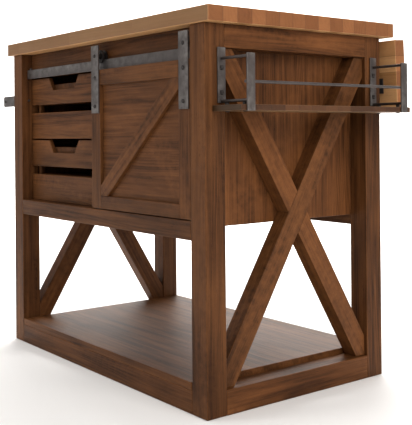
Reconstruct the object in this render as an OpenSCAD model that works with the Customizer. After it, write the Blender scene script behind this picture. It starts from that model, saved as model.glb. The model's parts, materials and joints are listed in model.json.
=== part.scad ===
// Kitchen island cart: a post-and-rail wooden frame with X-braced ends, a butcher-block top
// with a drop leaf, a sliding barn door, two pull-out crates, a spice rack and a towel bar.
// Inside the frame modules, x runs from the left posts' outer faces, y from the front posts'
// front faces and z from the floor. place() then moves the cart to its own origin.

/* [Overall] */
// Width over the posts
frame_w = 976; // [860:1:1180]
// Depth over the posts
frame_d = 576; // [520:1:700]
// Height of the top surface above the floor
cart_h = 914; // [860:1:1100]

/* [Top and leaf] */
// Thickness of the butcher-block top and leaf
top_t = 36; // [24:1:46]
// Overhang of the top past the posts at each end
over_side = 25; // [10:1:60]
// Overhang of the top past the posts at the front
over_front = 9; // [8:1:40]
// Overhang of the top past the posts at the back
over_back = 27; // [22:1:40]
// Length of the drop leaf, from its hinged edge to its free edge
leaf_len = 186; // [160:1:260]
// Outward tilt of the hanging leaf, degrees
leaf_tilt = 3; // [2:0.5:6]
// Gap between the top and the raised leaf
leaf_gap = 2; // [1:0.5:4]

/* [Frame timber] */
// Side of the square posts
post = 56; // [48:1:70]
// Height of the side and back rails under the top
top_rail_h = 54; // [40:1:80]
// Height of the side bottom rails
side_rail_h = 58; // [40:1:72]
// Height of the front and back bottom rails
long_rail_h = 54; // [36:1:70]
// Thickness of the bottom shelf, which lies on the front and back bottom rails
shelf_t = 18; // [12:1:24]
// Height of the mid rails' top, which is the cabinet floor
mid_top = 435; // [390:1:470]
// Height of the mid rails
mid_rail_h = 44; // [30:1:60]
// Width of an X-brace member across its face
brace_w = 52; // [36:1:64]
// Thickness of the X-brace members
brace_t = 42; // [24:1:46]
// Recess of the X-braces behind the posts' outer faces
brace_recess = 10; // [4:1:12]

/* [Cabinet] */
// Thickness of the cabinet's side panels, floor and divider
panel_t = 18; // [12:1:20]
// Thickness of the cabinet's back panel
back_t = 10; // [6:1:14]
// Recess of the crate fronts and the apron behind the posts' front faces
facade_y = 32; // [30:1:40]
// Thickness of the front apron
apron_t = 18; // [12:1:22]
// Height of the front apron, which carries the door track
apron_h = 73; // [70:1:90]
// Height of the inner shelf above the cabinet floor
inner_shelf_up = 185; // [120:1:240]

/* [Barn door] */
// Width of the door
door_w = 442; // [380:1:452]
// Thickness of the door frame
door_t = 18; // [16:1:18]
// Setback of the door's face from the posts' front faces
door_y = 2; // [1:0.5:4]
// Width of the door's stiles
stile_w = 45; // [38:1:60]
// Height of the door's top rail
door_rail_top = 40; // [30:1:60]
// Height of the door's bottom rail
door_rail_bottom = 34; // [26:1:60]
// Width of the door's diagonal member
diagonal_w = 42; // [24:1:56]
// Travel of the door along its track
door_travel = 410; // [300:1:410]

/* [Track and hangers] */
// Height of the flat track bar
track_h = 26.5; // [24:0.5:34]
// Thickness of the flat track bar
track_t = 5; // [4:0.5:6]
// Width of the hanger straps
strap_w = 36; // [26:1:38]
// Thickness of the hanger straps
strap_t = 4; // [3:0.5:5]
// Length of the hanger straps
strap_len = 178; // [160:1:220]
// Tread radius of the grooved rollers
roller_r = 8.5; // [7:0.5:11]
// Depth of the rollers' groove
groove_d = 9; // [5:0.5:10]

/* [Crates] */
// Height of a crate's front
crate_h = 181; // [150:1:183]
// Thickness of the crates' front slats
crate_front_t = 12; // [8:1:14]
// Thickness of the crates' side and back slats
crate_side_t = 10; // [7:1:14]
// Height of a crate's lower slat
slat_low = 78; // [60:1:84]
// Gap between a crate's lower and upper slats
slat_gap = 24; // [14:1:34]
// Width of the hand cutout along the top edge
hand_w = 178; // [120:1:220]
// Depth of the hand cutout
hand_d = 37; // [24:1:46]
// Distance that a crate pulls out
crate_travel = 340; // [200:1:360]

/* [Spice rack] */
// Distance that the rack's outer bars stand out from the posts
rack_d = 105; // [70:1:140]
// Height of the rack's straps and bars
rack_h = 124; // [100:1:160]
// Width of the rack's straps and bars
rack_bar_w = 22; // [16:1:30]
// Thickness of the rack's straps and bars
rack_bar_t = 4; // [3:0.5:6]
// Radius of the rack's rods
rack_rod_r = 3.5; // [2.5:0.5:5]
// Thickness of the rack's plank
plank_t = 13; // [10:1:18]
// Length of the rack's plank
plank_len = 553; // [520:1:600]

/* [Towel bar] */
// Distance that the towel brackets stand out from the posts
towel_reach = 95; // [70:1:120]
// Height of the towel brackets' flat bar
towel_bar_h = 33; // [24:1:40]
// Radius of the towel rod
towel_r = 5; // [4:0.5:8]

/* [Leaf support] */
// Distance from the leaf's hinge to the strut's pivot, along the leaf
strut_out = 120; // [100:1:140]
// Length of the struts between their two pins
strut_len = 175; // [170:1:195]

/* [Clearances] */
// Gap between moving wooden pieces and what guides them
slide_gap = 0.5; // [0.3:0.1:2]
// Gap between bodies that face each other closely
face_gap = 0.3; // [0.2:0.1:0.6]
// Radial running clearance of a shaft in its hole
shaft_gap = 0.05; // [0.02:0.01:0.1]

/* [Hidden] */
$fn = 48;

WALNUT = [0.43, 0.30, 0.22];
WALNUT_DARK = [0.33, 0.22, 0.16];
BUTCHER = [0.72, 0.50, 0.33];
STEEL = [0.33, 0.31, 0.31];
STEEL_DARK = [0.20, 0.19, 0.19];

eps = 0.01;

// Heights
under_top = cart_h - top_t;
top_rail_z = under_top - top_rail_h;
apron_z = under_top - apron_h;
shelf_z = long_rail_h;
mid_z = mid_top - mid_rail_h;
side_panel_z = mid_top - panel_t;

// Inner faces of the frame
in_l = post;
in_r = frame_w - post;
in_f = post;
in_b = frame_d - post;
bay_w = in_r - in_l;
bay_d = in_b - in_f;

// Cabinet
panel_l = brace_recess + brace_t;
panel_r = frame_w - panel_l - panel_t;
cab_l = panel_l + panel_t;
cab_r = panel_r;

// Leaf and its hinge line
leaf_hinge_r = 4;
leaf_pin_r = 2;
hinge_y = frame_d + over_back + leaf_gap/2;
hinge_z = under_top - leaf_hinge_r;
leaf_turn = 90 - leaf_tilt;
hinge_len = 64;
hinge_plate_t = 2;
hinge_plate_w = over_back - 3;
hinge_xs = [0.16*frame_w, 0.5*frame_w, 0.84*frame_w];

// Leaf support: a strut on each rear post, held up by a catch
support_xs = [0.64*post, frame_w - 0.64*post];
strut_t = 5;
strut_w = 12;
foot_r = 6.5;
foot_half = 7;
lug_drop = 8;
lug_pin_r = 3;
wall_plate_t = 3;
wall_plate_w = 40;
foot_y = frame_d + wall_plate_t + 4.5 + foot_r;
raised_y = hinge_y + strut_out;
raised_z = hinge_z - lug_drop;
foot_z = raised_z - sqrt(strut_len*strut_len - pow(raised_y - foot_y, 2));
rest_y = hinge_y + strut_out*sin(leaf_tilt) - lug_drop*cos(leaf_tilt);
rest_z = hinge_z - strut_out*cos(leaf_tilt) - lug_drop*sin(leaf_tilt);
catch_h = 12;
catch_len = 32;
catch_d = 15;
catch_side = 14;
catch_z = foot_z - foot_r - face_gap - catch_h/2;
catch_y = frame_d + wall_plate_t + face_gap;

// Door, straps, rollers and track
door_z = mid_top + 2;
door_top = apron_z - 3;
door_x = frame_w - post - 2 - door_w;
divider_x = door_x - panel_t/2;
panel_inset = 9;
door_panel_t = 6;
door_groove = 6;
strap_shift = 2;
strap_xs = [door_x + stile_w/2 + strap_shift, door_x + door_w - stile_w/2 + strap_shift];
strap_y = door_y - strap_t;
track_y = door_y + 17;
track_z = apron_z - 1.5;
track_top = track_z + track_h;
axle_z = track_top + roller_r;
axle_r = 4;
strap_top = axle_z + 27.5;
strap_z = strap_top - strap_len;
strap_bolt_zs = [strap_z + 18, strap_z + 94];
bolt_head_r = 5;
bolt_head_t = 4;
groove_w = track_t + 1.4;
flange_t = 4;
roller_y = track_y - 0.7 - flange_t;
roller_w = groove_w + 2*flange_t;
track_bolt_xs = [for (k = [0:3]) in_l + bay_w*(0.07 + 0.2867*k)];
track_bolt_z = track_z + 8;
stop_len = 9;
stop_xs = [strap_xs[0] - door_travel - roller_r - 1.5 - stop_len, strap_xs[1] + roller_r + 1.5];
fin_x = door_x + 4;
fin_len = 20;
fin_t = 4;
fin_y = door_y + 7;
fin_h = 8;

// Crates
crate_x = in_l + 2;
crate_w = divider_x - 2 - crate_x;
crate_body_l = cab_l + 3;
crate_body_r = divider_x - 3;
crate_back = in_b - 20;
crate_low_z = mid_top + slide_gap;
crate_high_z = crate_low_z + crate_h + 4;
side_h = 160*crate_h/181;
corner = 12;
bottom_t = 6;
runner_w = 14;
runner_h = crate_high_z - slide_gap - (crate_low_z + side_h + 6);

// Rack
rack_ys = [post - rack_bar_w/2, frame_d - 29];
rack_down = 178;
rack_strap_z = under_top - rack_down;
rack_drop = 20;
rack_bar_z = rack_strap_z - rack_drop;
rack_in = frame_w + rack_bar_t;
rack_out = frame_w + rack_d - rack_bar_t;
rack_rod_low = rack_strap_z + rack_rod_r;
rack_rod_high = rack_bar_z + rack_h - 5;
rack_rod_mid = rack_bar_z + rack_h/2 + 1;
plank_y = 20;
plank_z = rack_bar_z + 1;
plank_x = frame_w + 1;
rack_screw_r = 5;

// Towel bar
towel_ys = [8, frame_d - 12];
towel_t = 4;
towel_leg = 30;
towel_down = 140;
towel_z = under_top - towel_down;
towel_x = 15 - towel_reach;
towel_bolt_y = 14;

// Overall box, whose bottom centre is the origin
y_max = hinge_y + (leaf_len + leaf_gap/2)*sin(leaf_tilt) + (leaf_hinge_r + top_t)*cos(leaf_tilt);
origin_x = (frame_w + rack_d - towel_reach)/2;
origin_y = (y_max - over_front)/2;

module place() {
  translate([-origin_x, -origin_y, 0]) children();
}

// A box from its lowest corner to its highest corner
module span(low, high) {
  translate(low) cube(high - low);
}

// A cylinder of radius r along +X from p
module rod_x(p, r, len) {
  translate(p) rotate([0, 90, 0]) cylinder(r = r, h = len);
}

// A cylinder of radius r along +Y from p
module rod_y(p, r, len) {
  translate(p) rotate([-90, 0, 0]) cylinder(r = r, h = len);
}

// Moves the leaf and what is on it from the raised place to the hanging place
module hang() {
  translate([0, hinge_y, hinge_z]) rotate([-leaf_turn, 0, 0]) translate([0, -hinge_y, -hinge_z])
    children();
}

/* ---- top and leaf ---- */

module tabletop() {
  color(BUTCHER) place() span([-over_side, -over_front, under_top],
    [frame_w + over_side, frame_d + over_back, cart_h]);
}

module drop_leaf() {
  y0 = frame_d + over_back + leaf_gap;
  color(BUTCHER) place() hang()
    span([-over_side, y0, under_top], [frame_w + over_side, y0 + leaf_len, cart_h]);
}

// One hinge plate on the underside, from the pin outwards; side is -1 for the top, 1 for the leaf
module hinge_plate(x, side) {
  z0 = under_top - hinge_plate_t;
  y0 = side < 0 ? hinge_y - leaf_gap - hinge_plate_w : hinge_y + leaf_gap;
  span([x - hinge_len/2, y0, z0], [x + hinge_len/2, y0 + hinge_plate_w, under_top]);
}

// A knuckle from x0 to x1, joined to the plate on the given side
module knuckle(x0, x1, side, bore) {
  web = leaf_gap + 1;
  difference() {
    union() {
      rod_x([x0, hinge_y, hinge_z], leaf_hinge_r - eps, x1 - x0);
      span([x0, side < 0 ? hinge_y - web : hinge_y, under_top - hinge_plate_t],
        [x1, side < 0 ? hinge_y : hinge_y + web, under_top - eps]);
    }
    rod_x([x0 - 1, hinge_y, hinge_z], bore, x1 - x0 + 2);
  }
}

module leaf_hinges_fixed() {
  color(STEEL) place() for (x = hinge_xs) {
    union() {
      difference() {
        hinge_plate(x, -1);
        span([x - hinge_len/6 - 1, hinge_y - leaf_hinge_r - 1, hinge_z],
          [x + hinge_len/6 + 1, hinge_y, under_top + 1]);
      }
      knuckle(x - hinge_len/2, x - hinge_len/6, -1, leaf_pin_r);
      knuckle(x + hinge_len/6, x + hinge_len/2, -1, leaf_pin_r);
    }
    rod_x([x - hinge_len/2, hinge_y, hinge_z], leaf_pin_r, hinge_len);
  }
}

module leaf_hinges_moving() {
  color(STEEL) place() hang() for (x = hinge_xs) union() {
    difference() {
      hinge_plate(x, 1);
      for (s = [-1, 1]) translate([x + s*hinge_len/3 - hinge_len/6 - 1, hinge_y - 1, hinge_z])
        cube([hinge_len/3 + 2, leaf_hinge_r + 2, leaf_hinge_r + 1]);
    }
    knuckle(x - hinge_len/6 + face_gap, x + hinge_len/6 - face_gap, 1, leaf_pin_r + shaft_gap);
  }
}

/* ---- leaf support ---- */

// A clevis on the leaf's underside with the strut's pivot pin through its two ears
module leaf_lug(x) {
  ear = 3;
  in_gap = strut_t/2 + face_gap;
  difference() {
    union() {
      span([x - 16, raised_y - 20, under_top - 3], [x + 16, raised_y + 20, under_top]);
      for (s = [-1, 1]) {
        x0 = s < 0 ? x - in_gap - ear : x + in_gap;
        rod_x([x0, raised_y, raised_z], lug_pin_r + 3, ear);
        span([x0, raised_y - lug_pin_r - 3, raised_z], [x0 + ear, raised_y + lug_pin_r + 3, under_top]);
      }
    }
    rod_x([x - 12, raised_y, raised_z], lug_pin_r, 24);
  }
  rod_x([x - in_gap - ear - 1.5, raised_y, raised_z], lug_pin_r, 2*(in_gap + ear) + 3);
}

module leaf_lugs() {
  color(STEEL_DARK) place() hang() for (x = support_xs) leaf_lug(x);
}

// A flat strut hanging plumb from the leaf's lug, with a cross pin as its foot
module strut(x) {
  translate([x, rest_y, rest_z]) {
    difference() {
      union() {
        rod_x([-strut_t/2, 0, 0], strut_w/2, strut_t);
        rod_x([-strut_t/2, 0, -strut_len], strut_w/2, strut_t);
        span([-strut_t/2, -strut_w/2, -strut_len], [strut_t/2, strut_w/2, 0]);
      }
      rod_x([-strut_t, 0, 0], lug_pin_r + shaft_gap, 2*strut_t);
    }
    rod_x([-foot_half, 0, -strut_len], foot_r, 2*foot_half);
  }
}

module strut_left() {
  color(STEEL) place() strut(support_xs[0]);
}

module strut_right() {
  color(STEEL) place() strut(support_xs[1]);
}

// A plate on the rear post with a pad that the raised strut's foot bears on and the catch's pin
module wall_plate(x) {
  z0 = catch_z - 40;
  z1 = foot_z + 36;
  y1 = frame_d + wall_plate_t;
  difference() {
    union() {
      span([x - wall_plate_w/2, frame_d, z0], [x + wall_plate_w/2, y1, z1]);
      span([x - foot_half, y1 - eps, foot_z - foot_r + 0.5],
        [x + foot_half, foot_y - foot_r - face_gap, z1 - 14]);
      rod_y([x - catch_side, y1 - eps, catch_z], 3, catch_d + 2*face_gap + 2);
    }
    for (s = [-1, 1], z = [z0 + 8, z1 - 8]) rod_y([x + s*16, frame_d - 1, z], 2.5, wall_plate_t + 2);
  }
  for (s = [-1, 1], z = [z0 + 8, z1 - 8]) rod_y([x + s*16, frame_d, z], 2.5, wall_plate_t);
}

module wall_plates() {
  color(STEEL_DARK) place() for (x = support_xs) wall_plate(x);
}

// A turning catch, stowed pointing down; turned a quarter it lies under the raised strut's foot
module catch(x) {
  difference() {
    union() {
      rod_y([x - catch_side, catch_y, catch_z], catch_h/2, catch_d);
      span([x - catch_side - catch_h/2, catch_y, catch_z - catch_len],
        [x - catch_side + catch_h/2, catch_y + catch_d, catch_z]);
    }
    rod_y([x - catch_side, catch_y - 1, catch_z], 3 + shaft_gap, catch_d + 2);
  }
}

module catch_left() {
  color(STEEL) place() catch(support_xs[0]);
}

module catch_right() {
  color(STEEL) place() catch(support_xs[1]);
}

/* ---- frame ---- */

module post_at(x, y) {
  color(WALNUT) place() span([x, y, 0], [x + post, y + post, under_top]);
}

// A through hole for a towel bracket's bolt at depth y, along X
module towel_hole(y) {
  rod_x([-1, y, towel_z], 3, post + 2);
}

module post_front_left() {
  difference() {
    post_at(0, 0);
    place() towel_hole(towel_ys[0] + towel_bolt_y);
  }
}

module post_front_right() {
  post_at(in_r, 0);
}

module post_rear_left() {
  difference() {
    post_at(0, in_b);
    place() towel_hole(towel_ys[1] + towel_t - towel_bolt_y);
  }
}

module post_rear_right() {
  post_at(in_r, in_b);
}

module apron_front() {
  color(WALNUT_DARK) place() span([in_l, facade_y, apron_z], [in_r, facade_y + apron_t, under_top]);
}

module top_rail_back() {
  color(WALNUT) place() span([in_l, in_b + back_t, top_rail_z], [in_r, frame_d, under_top]);
}

module top_rails_side() {
  color(WALNUT) place() {
    span([0, in_f, top_rail_z], [panel_l, in_b, under_top]);
    span([frame_w - panel_l, in_f, top_rail_z], [frame_w, in_b, under_top]);
  }
}

module mid_rail_front() {
  color(WALNUT) place() span([in_l, 0, mid_z], [in_r, in_f, mid_top]);
}

module mid_rail_back() {
  color(WALNUT) place() span([in_l, in_b, mid_z], [in_r, frame_d, mid_top]);
}

module bottom_rails_long() {
  color(WALNUT) place() {
    span([in_l, 0, 0], [in_r, in_f, long_rail_h]);
    span([in_l, in_b, 0], [in_r, frame_d, long_rail_h]);
  }
}

module bottom_rails_side() {
  color(WALNUT) place() {
    span([0, in_f, 0], [post, in_b, side_rail_h]);
    span([in_r, in_f, 0], [frame_w, in_b, side_rail_h]);
  }
}

module bottom_shelf() {
  color(WALNUT) place() span([in_l + 2, 0, shelf_z], [in_r - 2, frame_d, shelf_z + shelf_t]);
}

// One brace member from corner to corner of the end's opening; rise is 1 from front low to
// back high, -1 from front high to back low
module brace_member(x0, rise) {
  h = top_rail_z - side_rail_h;
  angle = atan2(h, bay_d)*rise;
  reach = norm([bay_d, h]) + 2*brace_w;
  intersection() {
    translate([x0, frame_d/2, side_rail_h + h/2]) rotate([angle, 0, 0])
      translate([0, -reach/2, -brace_w/2]) cube([brace_t, reach, brace_w]);
    span([x0 - 1, in_f, side_rail_h], [x0 + brace_t + 1, in_b, top_rail_z]);
  }
}

// Half of the crossing is cut from each member, so that they lap flush
module brace(x0) {
  difference() {
    brace_member(x0, 1);
    translate([-brace_t/2, 0, 0]) brace_member(x0, -1);
  }
  difference() {
    brace_member(x0, -1);
    translate([brace_t/2, 0, 0]) brace_member(x0, 1);
  }
}

module brace_left() {
  color(WALNUT) place() brace(brace_recess);
}

module brace_right() {
  color(WALNUT) place() brace(frame_w - brace_recess - brace_t);
}

/* ---- cabinet ---- */

module side_panel_left() {
  color(WALNUT) place() span([panel_l, in_f, side_panel_z], [cab_l, in_b, under_top]);
}

module side_panel_right() {
  color(WALNUT) place() span([panel_r, in_f, side_panel_z], [panel_r + panel_t, in_b, under_top]);
}

module back_panel() {
  color(WALNUT_DARK) place() span([in_l, in_b, mid_top], [in_r, in_b + back_t, under_top]);
}

module cabinet_floor() {
  color(WALNUT_DARK) place() span([cab_l, in_f, side_panel_z], [cab_r, in_b, mid_top]);
}

module centre_divider() {
  color(WALNUT_DARK) place() difference() {
    span([divider_x, facade_y, mid_top], [divider_x + panel_t, in_b, under_top]);
    span([divider_x - 1, facade_y - 1, apron_z],
      [divider_x + panel_t + 1, facade_y + apron_t, under_top + 1]);
  }
}

module crate_runners() {
  z1 = crate_high_z - slide_gap;
  color(WALNUT_DARK) place() {
    span([cab_l, in_f, z1 - runner_h], [cab_l + runner_w, crate_back, z1]);
    span([divider_x - runner_w, in_f, z1 - runner_h], [divider_x, crate_back, z1]);
  }
}

pin_ys = [in_f + 50, in_b - 50];
pin_r = 2.5;
pin_out = 10;

module inner_shelf() {
  z = mid_top + inner_shelf_up;
  color(WALNUT_DARK) place()
    span([divider_x + panel_t + 1, in_f + 4, z], [cab_r - 1, in_b - 4, z + panel_t]);
}

// Four pins under the inner shelf, two in the divider and two in the right side panel
module shelf_pins() {
  z = mid_top + inner_shelf_up - pin_r;
  color(STEEL) place() for (y = pin_ys) {
    rod_x([divider_x + panel_t, y, z], pin_r, pin_out);
    rod_x([cab_r - pin_out, y, z], pin_r, pin_out);
  }
}

/* ---- barn door ---- */

// The groove for the door's panel and the slot that rides over the guide fin
module door_cuts() {
  span([door_x + stile_w - door_groove, door_y + panel_inset, door_z + door_rail_bottom - door_groove],
    [door_x + door_w - stile_w + door_groove, door_y + panel_inset + door_panel_t,
     door_top - door_rail_top + door_groove]);
  span([door_x - 1, fin_y - slide_gap, door_z - 1],
    [door_x + door_w + 1, fin_y + fin_t + slide_gap, mid_top + fin_h + 1]);
}

module strap_holes() {
  for (x = strap_xs, z = strap_bolt_zs) rod_y([x, door_y - 20, z], 3, 60);
}

module door_stiles() {
  color(WALNUT) place() difference() {
    union() {
      span([door_x, door_y, door_z], [door_x + stile_w, door_y + door_t, door_top]);
      span([door_x + door_w - stile_w, door_y, door_z], [door_x + door_w, door_y + door_t, door_top]);
    }
    door_cuts();
    strap_holes();
  }
}

module door_rails() {
  x0 = door_x + stile_w;
  x1 = door_x + door_w - stile_w;
  color(WALNUT) place() difference() {
    union() {
      span([x0, door_y, door_z], [x1, door_y + door_t, door_z + door_rail_bottom]);
      span([x0, door_y, door_top - door_rail_top], [x1, door_y + door_t, door_top]);
    }
    door_cuts();
  }
}

module door_panel() {
  y0 = door_y + panel_inset;
  color(WALNUT) place()
    span([door_x + stile_w - door_groove, y0, door_z + door_rail_bottom - door_groove],
      [door_x + door_w - stile_w + door_groove, y0 + door_panel_t, door_top - door_rail_top + door_groove]);
}

// The diagonal runs from the lower left to the upper right corner, in front of the panel
module door_diagonal() {
  x0 = door_x + stile_w;
  x1 = door_x + door_w - stile_w;
  z0 = door_z + door_rail_bottom;
  z1 = door_top - door_rail_top;
  reach = norm([x1 - x0, z1 - z0]) + 2*diagonal_w;
  color(WALNUT) place() intersection() {
    translate([(x0 + x1)/2, door_y, (z0 + z1)/2]) rotate([0, -atan2(z1 - z0, x1 - x0), 0])
      translate([-reach/2, 0, -diagonal_w/2]) cube([reach, panel_inset, diagonal_w]);
    span([x0, door_y, z0], [x1, door_y + panel_inset, z1]);
  }
}

module hanger_straps() {
  color(STEEL) place() difference() {
    for (x = strap_xs) span([x - strap_w/2, strap_y, strap_z], [x + strap_w/2, door_y, strap_top]);
    strap_holes();
    for (x = strap_xs) rod_y([x, strap_y - 1, axle_z], axle_r, strap_t + 2);
  }
}

// A dome-headed bolt through the strap and the stile
module strap_bolts() {
  color(STEEL_DARK) place() for (x = strap_xs, z = strap_bolt_zs) union() {
    rod_y([x, strap_y - bolt_head_t, z], bolt_head_r, bolt_head_t);
    rod_y([x, strap_y - 1, z], 3, strap_t + door_t);
  }
}

// The roller's axle: head, spacer collar, shaft and end clip in one turned piece
module roller_axles() {
  y_end = roller_y + roller_w;
  color(STEEL_DARK) place() for (x = strap_xs) union() {
    rod_y([x, strap_y - bolt_head_t, axle_z], bolt_head_r, bolt_head_t);
    rod_y([x, strap_y - 1, axle_z], axle_r, y_end + face_gap + 2 - strap_y);
    rod_y([x, door_y, axle_z], axle_r + 3, roller_y - face_gap - door_y);
    rod_y([x, y_end + face_gap, axle_z], axle_r + 2, 1.2);
  }
}

// A grooved roller: its tread sits just above the track and its flanges hang on both sides
module roller(x) {
  tread = roller_r - face_gap;
  translate([x, roller_y, axle_z]) rotate([-90, 0, 0]) difference() {
    rotate_extrude() polygon([
      [0, 0], [tread + groove_d, 0], [tread + groove_d, flange_t - 1], [tread, flange_t],
      [tread, roller_w - flange_t], [tread + groove_d, roller_w - flange_t + 1],
      [tread + groove_d, roller_w], [0, roller_w]
    ]);
    translate([0, 0, -1]) cylinder(r = axle_r + shaft_gap, h = roller_w + 2);
  }
}

module roller_left() {
  color(STEEL_DARK) place() roller(strap_xs[0]);
}

module roller_right() {
  color(STEEL_DARK) place() roller(strap_xs[1]);
}

// The flat track, with a stop standing on it at each end of the rollers' travel
module track_bar() {
  color(STEEL) place() difference() {
    union() {
      span([in_l, track_y, track_z], [in_r, track_y + track_t, track_top]);
      for (x = stop_xs) span([x, track_y, track_top - 1], [x + stop_len, track_y + track_t, track_top + 5]);
    }
    for (x = track_bolt_xs) rod_y([x, track_y - 1, track_bolt_z], 3, track_t + 2);
  }
}

// Flush bolts that hold the track off the apron on spacer tubes
module track_bolts() {
  color(STEEL_DARK) place() for (x = track_bolt_xs) {
    rod_y([x, track_y, track_bolt_z], 3, facade_y - track_y);
    difference() {
      rod_y([x, track_y + track_t, track_bolt_z], 6, facade_y - track_y - track_t);
      rod_y([x, track_y, track_bolt_z], 3, facade_y);
    }
  }
}

// A fin on the mid rail that keeps the foot of the door in line
module door_guide() {
  color(STEEL) place() span([fin_x, fin_y, mid_top], [fin_x + fin_len, fin_y + fin_t, mid_top + fin_h]);
}

/* ---- crates ---- */

// The trapezoid hand cutout at the top edge of a crate's front
module hand_cutout(z1) {
  xc = crate_x + crate_w/2;
  translate([xc, facade_y + crate_front_t + 1, z1]) rotate([90, 0, 0])
    linear_extrude(crate_front_t + 2)
      polygon([[-hand_w/2, 1], [-hand_w/2 + 25, -hand_d], [hand_w/2 - 25, -hand_d], [hand_w/2, 1]]);
}

module crate_front(z0) {
  y1 = facade_y + crate_front_t;
  color(WALNUT) place() {
    span([crate_x, facade_y, z0], [crate_x + crate_w, y1, z0 + slat_low]);
    difference() {
      span([crate_x, facade_y, z0 + slat_low + slat_gap], [crate_x + crate_w, y1, z0 + crate_h]);
      hand_cutout(z0 + crate_h);
    }
  }
}

// Side and back slats, two high
module crate_slats(z0) {
  y0 = facade_y + crate_front_t;
  rows = [[z0, z0 + slat_low], [z0 + slat_low + slat_gap, z0 + side_h]];
  color(WALNUT_DARK) place() for (row = rows) {
    span([crate_body_l, y0, row[0]], [crate_body_l + crate_side_t, crate_back, row[1]]);
    span([crate_body_r - crate_side_t, y0, row[0]], [crate_body_r, crate_back, row[1]]);
    span([crate_body_l + crate_side_t, crate_back - crate_side_t, row[0]],
      [crate_body_r - crate_side_t, crate_back, row[1]]);
  }
}

module crate_bottom(z0) {
  y0 = facade_y + crate_front_t;
  color(WALNUT_DARK) place()
    span([crate_body_l + crate_side_t, y0, z0 + bottom_t],
      [crate_body_r - crate_side_t, crate_back - crate_side_t, z0 + 2*bottom_t]);
}

// Four upright blocks inside the corners, standing on the bottom
module crate_corners(z0) {
  x0 = crate_body_l + crate_side_t;
  x1 = crate_body_r - crate_side_t - corner;
  y0 = facade_y + crate_front_t;
  y1 = crate_back - crate_side_t - corner;
  color(WALNUT_DARK) place() for (x = [x0, x1], y = [y0, y1])
    span([x, y, z0 + 2*bottom_t], [x + corner, y + corner, z0 + side_h]);
}

module crate_lower_front() { crate_front(crate_low_z); }
module crate_lower_slats() { crate_slats(crate_low_z); }
module crate_lower_corners() { crate_corners(crate_low_z); }
module crate_lower_bottom() { crate_bottom(crate_low_z); }
module crate_upper_front() { crate_front(crate_high_z); }
module crate_upper_slats() { crate_slats(crate_high_z); }
module crate_upper_corners() { crate_corners(crate_high_z); }
module crate_upper_bottom() { crate_bottom(crate_high_z); }

/* ---- towel bar ---- */

// An angle bracket: one leg lies on the post, the other stands out and holds the rod
module towel_bracket(y0, side) {
  leg_y = side > 0 ? [y0, y0 + towel_leg] : [y0 + towel_t - towel_leg, y0 + towel_t];
  r = 8;
  z0 = towel_z - towel_bar_h/2;
  z1 = towel_z + towel_bar_h/2;
  difference() {
    union() {
      span([-towel_t, leg_y[0], z0], [0, leg_y[1], z1]);
      span([r - towel_reach, y0, z0], [0, y0 + towel_t, z1]);
      span([-towel_reach, y0, z0 + r], [0, y0 + towel_t, z1 - r]);
      for (z = [z0 + r, z1 - r]) rod_y([r - towel_reach, y0, z], r, towel_t);
    }
    rod_x([-towel_t - 1, side > 0 ? y0 + towel_bolt_y : y0 + towel_t - towel_bolt_y, towel_z],
      3, towel_t + 2);
    rod_y([towel_x, y0 - 1, towel_z], 2.5, towel_t + 2);
  }
}

module towel_brackets() {
  color(STEEL) place() {
    towel_bracket(towel_ys[0], 1);
    towel_bracket(towel_ys[1], -1);
  }
}

module towel_rod() {
  color(STEEL) place()
    rod_y([towel_x, towel_ys[0] + towel_t, towel_z], towel_r, towel_ys[1] - towel_ys[0] - towel_t);
}

// A bolt through each post with a nut inside it, and a screw into each end of the rod
module towel_bolts() {
  bolt_ys = [towel_ys[0] + towel_bolt_y, towel_ys[1] + towel_t - towel_bolt_y];
  color(STEEL_DARK) place() {
    for (y = bolt_ys) {
      union() {
        rod_x([-towel_t - 4, y, towel_z], 6, 4);
        rod_x([-towel_t - 1, y, towel_z], 3, towel_t + 1 + post + 6);
      }
      difference() {
        translate([post, y, towel_z]) rotate([0, 90, 0]) cylinder(r = 7.5, h = 5, $fn = 6);
        rod_x([post - 1, y, towel_z], 3, 8);
      }
    }
    for (k = [0, 1]) {
      y0 = k == 0 ? towel_ys[0] - 2.5 : towel_ys[1] + towel_t;
      union() {
        rod_y([towel_x, y0, towel_z], 5, 2.5);
        rod_y([towel_x, k == 0 ? y0 : towel_ys[1], towel_z], 2.5, 2.5 + towel_t);
      }
    }
  }
}

/* ---- spice rack ---- */

module rack_straps() {
  z0 = rack_strap_z;
  color(STEEL) place() for (y = rack_ys) difference() {
    span([frame_w, y - rack_bar_w/2, z0], [rack_in, y + rack_bar_w/2, z0 + rack_h]);
    for (z = [z0 + 23, z0 + 78]) rod_x([frame_w - 1, y, z], 2.5, rack_bar_t + 2);
  }
}

module rack_bars() {
  color(STEEL) place() for (y = rack_ys)
    span([rack_out, y - rack_bar_w/2, rack_bar_z], [frame_w + rack_d, y + rack_bar_w/2, rack_bar_z + rack_h]);
}

// Two rods from each strap to its bar, and one long rod along the inner side of the bars
module rack_rods() {
  color(STEEL) place() {
    for (y = rack_ys, z = [rack_rod_low, rack_rod_high])
      rod_x([rack_in, y, z], rack_rod_r, rack_out - rack_in);
    rod_y([rack_out - rack_rod_r, rack_ys[0] - rack_bar_w/2, rack_rod_mid], rack_rod_r,
      rack_ys[1] - rack_ys[0] + rack_bar_w);
  }
}

module rack_plank() {
  color(BUTCHER) place() difference() {
    span([plank_x, plank_y, plank_z], [rack_out, plank_y + plank_len, plank_z + plank_t]);
    rack_plank_screws(2.5, false);
  }
}

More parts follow.
